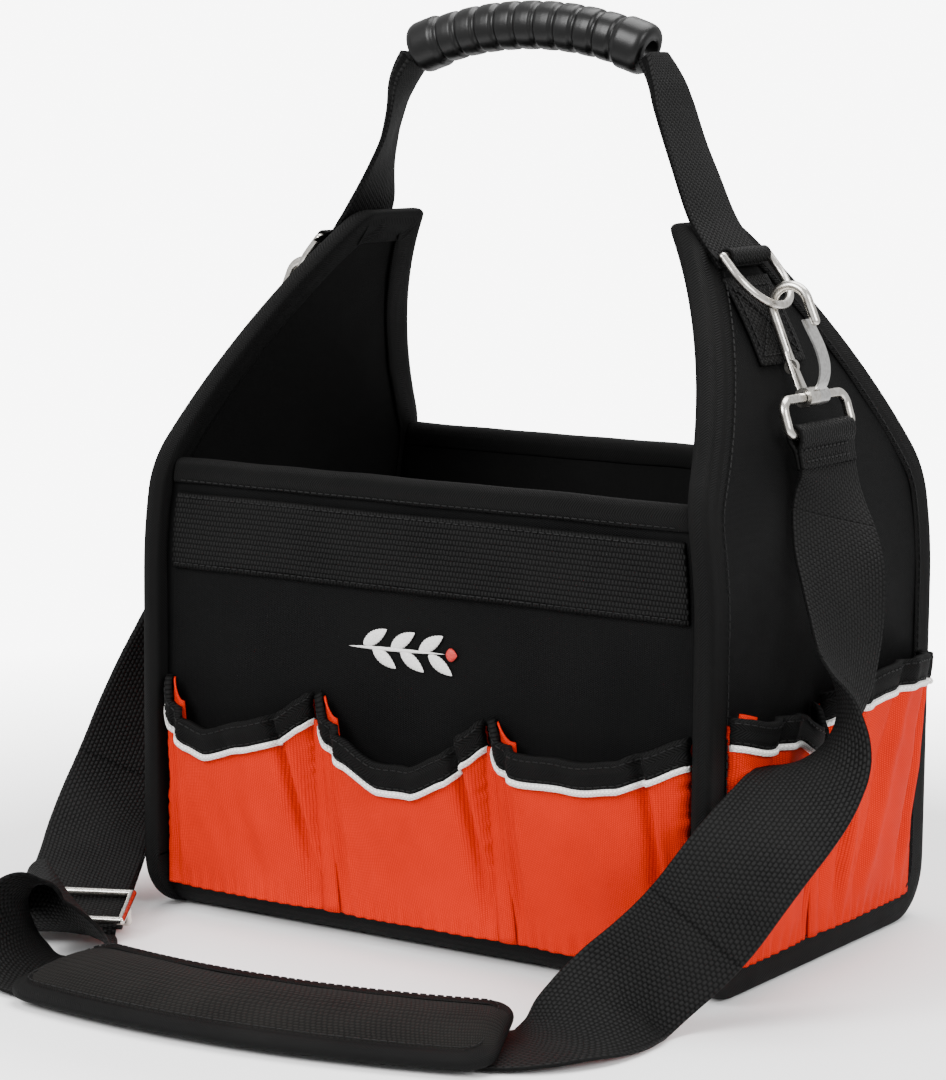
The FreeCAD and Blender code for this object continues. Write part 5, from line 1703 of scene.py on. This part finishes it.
# Shoulder pad -------------------------------------------------------------------------------------
@dataclass
class Pad:
    """Curved foam pad on the strap, covered in cloth and bound with ribbed tape."""

    finishes: Finishes
    start: tuple[float, float] = (-0.095, -0.2315)
    middle: tuple[float, float] = (0.010, -0.2345)
    end: tuple[float, float] = (0.117, -0.2065)
    half_width: float = 0.0298
    low: float = 0.0032
    thickness: float = 0.0088
    rim: float = 0.0046
    tilt: float = 0.12
    corner: float = 0.012

    def circle(self) -> tuple[Vector, float, float, float]:
        """Centre, radius and the two end angles of the pad's middle line."""
        a, b, c = Vector(self.start), Vector(self.middle), Vector(self.end)
        d = 2 * (a.x * (b.y - c.y) + b.x * (c.y - a.y) + c.x * (a.y - b.y))
        ux = (a.length_squared * (b.y - c.y) + b.length_squared * (c.y - a.y) + c.length_squared * (a.y - b.y)) / d
        uy = (a.length_squared * (c.x - b.x) + b.length_squared * (a.x - c.x) + c.length_squared * (b.x - a.x)) / d
        centre = Vector((ux, uy))
        first, last = a - centre, c - centre
        return centre, first.length, math.atan2(first.y, first.x), math.atan2(last.y, last.x)

    def spot(self, along: float, side: float, height: float) -> Vector:
        """Point of the pad at a distance along and across its middle line."""
        centre, radius, first, last = self.circle()
        sweep_angle = last - first
        turn = first + sweep_angle * (along / (abs(sweep_angle) * radius))
        lift = self.tilt * max(self.half_width - side, 0.0)
        return Vector((centre.x + math.cos(turn) * (radius + side), centre.y + math.sin(turn) * (radius + side),
                       height + lift))

    def thick(self, side: float) -> float:
        """Thickness of the pad at a distance from its middle line."""
        share = min(abs(side) / self.half_width, 1.0)
        return self.rim + (self.thickness - self.rim) * (1 - share ** 2.2)

    def length(self) -> float:
        """Length of the pad along its middle line."""
        _, radius, first, last = self.circle()
        return abs(last - first) * radius

    def body(self) -> Piece:
        """The cloth-covered foam."""
        total, ring, last = self.length(), 44, 90

        def place(across: float, along: float) -> Vector:
            """Point of the pad's skin."""
            spread = 0.5 - 0.5 * math.cos(math.pi * along)
            at = spread * total
            near = min(at, total - at)
            cut = max(self.corner - near, 0.0)
            half = self.half_width - self.corner + math.sqrt(max(self.corner ** 2 - cut ** 2, 0.0))
            thin = math.sqrt(max(1 - (1 - min(near / 0.010, 1.0)) ** 2, 0.0))
            turn = 2 * math.pi * across
            c, s = math.cos(turn), math.sin(turn)
            side = math.copysign(abs(c) ** (2 / 2.6), c) * half
            rise = math.copysign(abs(s) ** (2 / 2.6), s) * thin
            dimple = 0.0005 * rough(at, side, 0.022, 71.0) * max(s, 0.0)
            height = self.low + self.thick(side) / 2 * (1 + rise) + dimple * thin
            return self.spot(at, side, height)

        bm = bmesh.new()
        lay(bm, Cells(ring, last), (0.13, total), place)
        piece = finished("pad_cloth_body", bm, self.finishes.pad, closed=True, levels=1)
        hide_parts("pad_body")
        return piece

    def binding(self) -> Piece:
        """Ribbed tape round the pad's edge."""
        total, half = self.length(), self.half_width
        outline = rounded([(0.0, -half), (total, -half), (total, half), (0.0, half)], [self.corner] * 4, 8)
        count = len(outline)
        stations = []
        for index, point in enumerate(outline):
            ahead = (outline[(index + 1) % count] - outline[index - 1]).normalized()
            out = Vector((ahead.y, -ahead.x))
            here = self.spot(point.x, point.y, self.low + self.rim / 2)
            beyond = self.spot(point.x + out.x * 0.001, point.y + out.y * 0.001, self.low + self.rim / 2)
            stations.append(Station(here, (beyond - here).normalized(), Vector((0, 0, 1))))
        half_high = self.rim / 2 + 0.0009
        section = [(-0.0075, half_high + 0.0009), (-0.005, half_high + 0.0008), (-0.0018, half_high + 0.0002),
                   (0.0006, half_high * 0.7), (0.0014, 0.0), (0.0006, -half_high * 0.7), (-0.0018, -half_high),
                   (-0.005, -half_high), (-0.0075, -half_high + 0.0003)]
        bm = bmesh.new()
        sweep(bm, stations, section, closed_path=True, closed_section=False)
        bm.normal_update()
        outer = max(bm.faces, key=lambda face: face.calc_center_median().z)
        if outer.normal.z < 0:
            bmesh.ops.reverse_faces(bm, faces=bm.faces)
        piece = finished("pad_edge_tape", bm, self.finishes.binding, 0.0009, -1.0, 1)
        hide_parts("pad_binding")
        return piece

    def seam(self) -> Piece:
        """Stitches along the edge tape."""
        total, half = self.length(), self.half_width - 0.0052
        outline = rounded([(0.0052, -half), (total - 0.0052, -half), (total - 0.0052, half), (0.0052, half)],
                          [self.corner - 0.004] * 4, 6)
        row = [self.spot(point.x, point.y, self.low + self.rim + 0.0026) for point in [*outline, outline[0]]]
        piece = stitched("pad_edge_seam", [row], self.finishes.thread, size=0.0003)
        return piece

    def build(self) -> list[Piece]:
        """Make the pad and fix it to the bag's body, as the strap lies on the floor."""
        pieces = [self.body(), self.binding(), self.seam()]
        for piece in pieces:
            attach(piece, "bag")
            LOG.info("pad piece %s", piece.name)
        return pieces


# Hardware and hidden boards -----------------------------------------------------------------------
@dataclass
class Hardware:
    """CAD nodes that keep their own shape and take a finish."""

    finishes: Finishes

    def build(self) -> None:
        """Dress every node that shows or is sealed in."""
        for name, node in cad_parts.items():
            material = None
            if name.endswith(("d_ring", "snap_hook", "strap_loop")) or name == "strap_slider":
                material = self.finishes.nickel
            elif name.endswith("hook_gate"):
                material = self.finishes.spring
            elif name.endswith("board"):
                material = self.finishes.board
            if material is None:
                continue
            for slot in node.material_slots:
                slot.material = material
            LOG.info("dressed %s", name)


# Studio -------------------------------------------------------------------------------------------
@dataclass
class Studio:
    """Pale floor, soft lights and the camera."""

    place: Point = (0.82534, -1.30452, 0.39962)
    azimuth: float = 33.44
    elevation: float = 8.26
    roll: float = 0.53
    lens: float = 112.31
    fade: tuple[float, float] = (0.30, 0.75)
    floor_size: float = 6.0
    floor_gap: float = 0.0002
    lit: float = 0.9
    seen: float = 8.0

    def floor(self) -> None:
        """Plain pale floor that fades out around the bag."""
        bm = bmesh.new()
        bmesh.ops.create_grid(bm, x_segments=2, y_segments=2, size=self.floor_size)
        bmesh.ops.translate(bm, verts=bm.verts, vec=(0, 0, -self.floor_gap))
        made, wiring = new_material("pale_floor")
        shader = wiring.add("ShaderNodeBsdfPrincipled")
        wiring.put(shader, {"Base Color": (0.96, 0.96, 0.96, 1.0), "Roughness": 0.8, "Specular IOR Level": 0.1})
        away = wiring.add("ShaderNodeVectorMath", operation="LENGTH")
        wiring.join(wiring.add("ShaderNodeTexCoord").outputs["Object"], away.inputs[0])
        faded = wiring.add("ShaderNodeMixShader")
        wiring.join(wiring.ramp(away.outputs["Value"], *self.fade, 0.0, 1.0), faded.inputs[0])
        wiring.join(shader.outputs[0], faded.inputs[1])
        wiring.join(wiring.add("ShaderNodeBsdfTransparent").outputs[0], faded.inputs[2])
        wiring.join(faded.outputs[0], wiring.add("ShaderNodeOutputMaterial").inputs["Surface"])
        finished("studio_floor", bm, made)

    def lamp(self, name: str, place: Point, target: Point, size: float, power: float) -> None:
        """One soft square light."""
        light = bpy.data.lights.new(name, "AREA")
        light.shape = "SQUARE"
        light.size = size
        light.energy = power
        holder = bpy.data.objects.new(name, light)
        holder.location = place
        holder.rotation_euler = (Vector(target) - Vector(place)).to_track_quat("-Z", "Y").to_euler()
        bpy.context.scene.collection.objects.link(holder)

    def lights(self) -> None:
        """Soft light from the front, the right and above, and a world that looks brighter than it lights."""
        self.lamp("key_light", (-0.5, -1.9, 1.5), (0, 0, 0.15), 1.2, 75.0)
        self.lamp("side_light", (1.9, -0.7, 1.1), (0, 0, 0.15), 1.0, 34.0)
        self.lamp("top_light", (0.1, 0.5, 2.0), (0, 0, 0.1), 1.6, 60.0)
        world = bpy.data.worlds.new("studio_world")
        world.use_nodes = True
        world.node_tree.nodes.clear()
        wiring = Wiring(world.node_tree)
        back = wiring.add("ShaderNodeBackground")
        direct = wiring.add("ShaderNodeLightPath").outputs["Is Camera Ray"]
        wiring.put(back, {"Color": (1.0, 1.0, 1.0, 1.0),
                          "Strength": wiring.ramp(direct, 0.0, 1.0, self.lit, self.seen)})
        wiring.join(back.outputs[0], wiring.add("ShaderNodeOutputWorld").inputs["Surface"])
        bpy.context.scene.world = world

    def camera(self) -> None:
        """Camera at the viewing angle."""
        a, e, r = (math.radians(value) for value in (self.azimuth, self.elevation, self.roll))
        right = Vector((math.cos(a), math.sin(a), 0))
        back = Vector((math.sin(a) * math.cos(e), -math.cos(a) * math.cos(e), math.sin(e)))
        up = back.cross(right)
        x = right * math.cos(r) + up * math.sin(r)
        y = up * math.cos(r) - right * math.sin(r)
        data = bpy.data.cameras.new("studio_camera")
        data.lens = self.lens
        data.sensor_width = 36.0
        data.clip_end = 50.0
        holder = bpy.data.objects.new("studio_camera", data)
        holder.matrix_world = Matrix((
            (x.x, y.x, back.x, self.place[0]), (x.y, y.y, back.y, self.place[1]), (x.z, y.z, back.z, self.place[2]),
            (0, 0, 0, 1)))
        bpy.context.scene.collection.objects.link(holder)
        bpy.context.scene.camera = holder

    def build(self) -> None:
        """Set the studio up."""
        self.floor()
        self.lights()
        self.camera()


def write_sizes() -> None:
    """Bring the scene's transforms up to date."""
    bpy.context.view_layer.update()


def main() -> None:
    """Build the bag, piece by piece."""
    logging.basicConfig(level=logging.INFO, format="%(name)s: %(message)s")
    finishes = Finishes()
    Studio().build()
    ShoulderStrap(finishes).build(Pad(finishes).build())
    Walls(finishes).build()
    for side in ("right", "left"):
        EndPanel(side, finishes).build()
    Pockets(finishes).build()
    Emblem(finishes).build()
    Handle(finishes).build()
    Hardware(finishes).build()
    write_sizes()


if __name__ == "__main__":
    main()
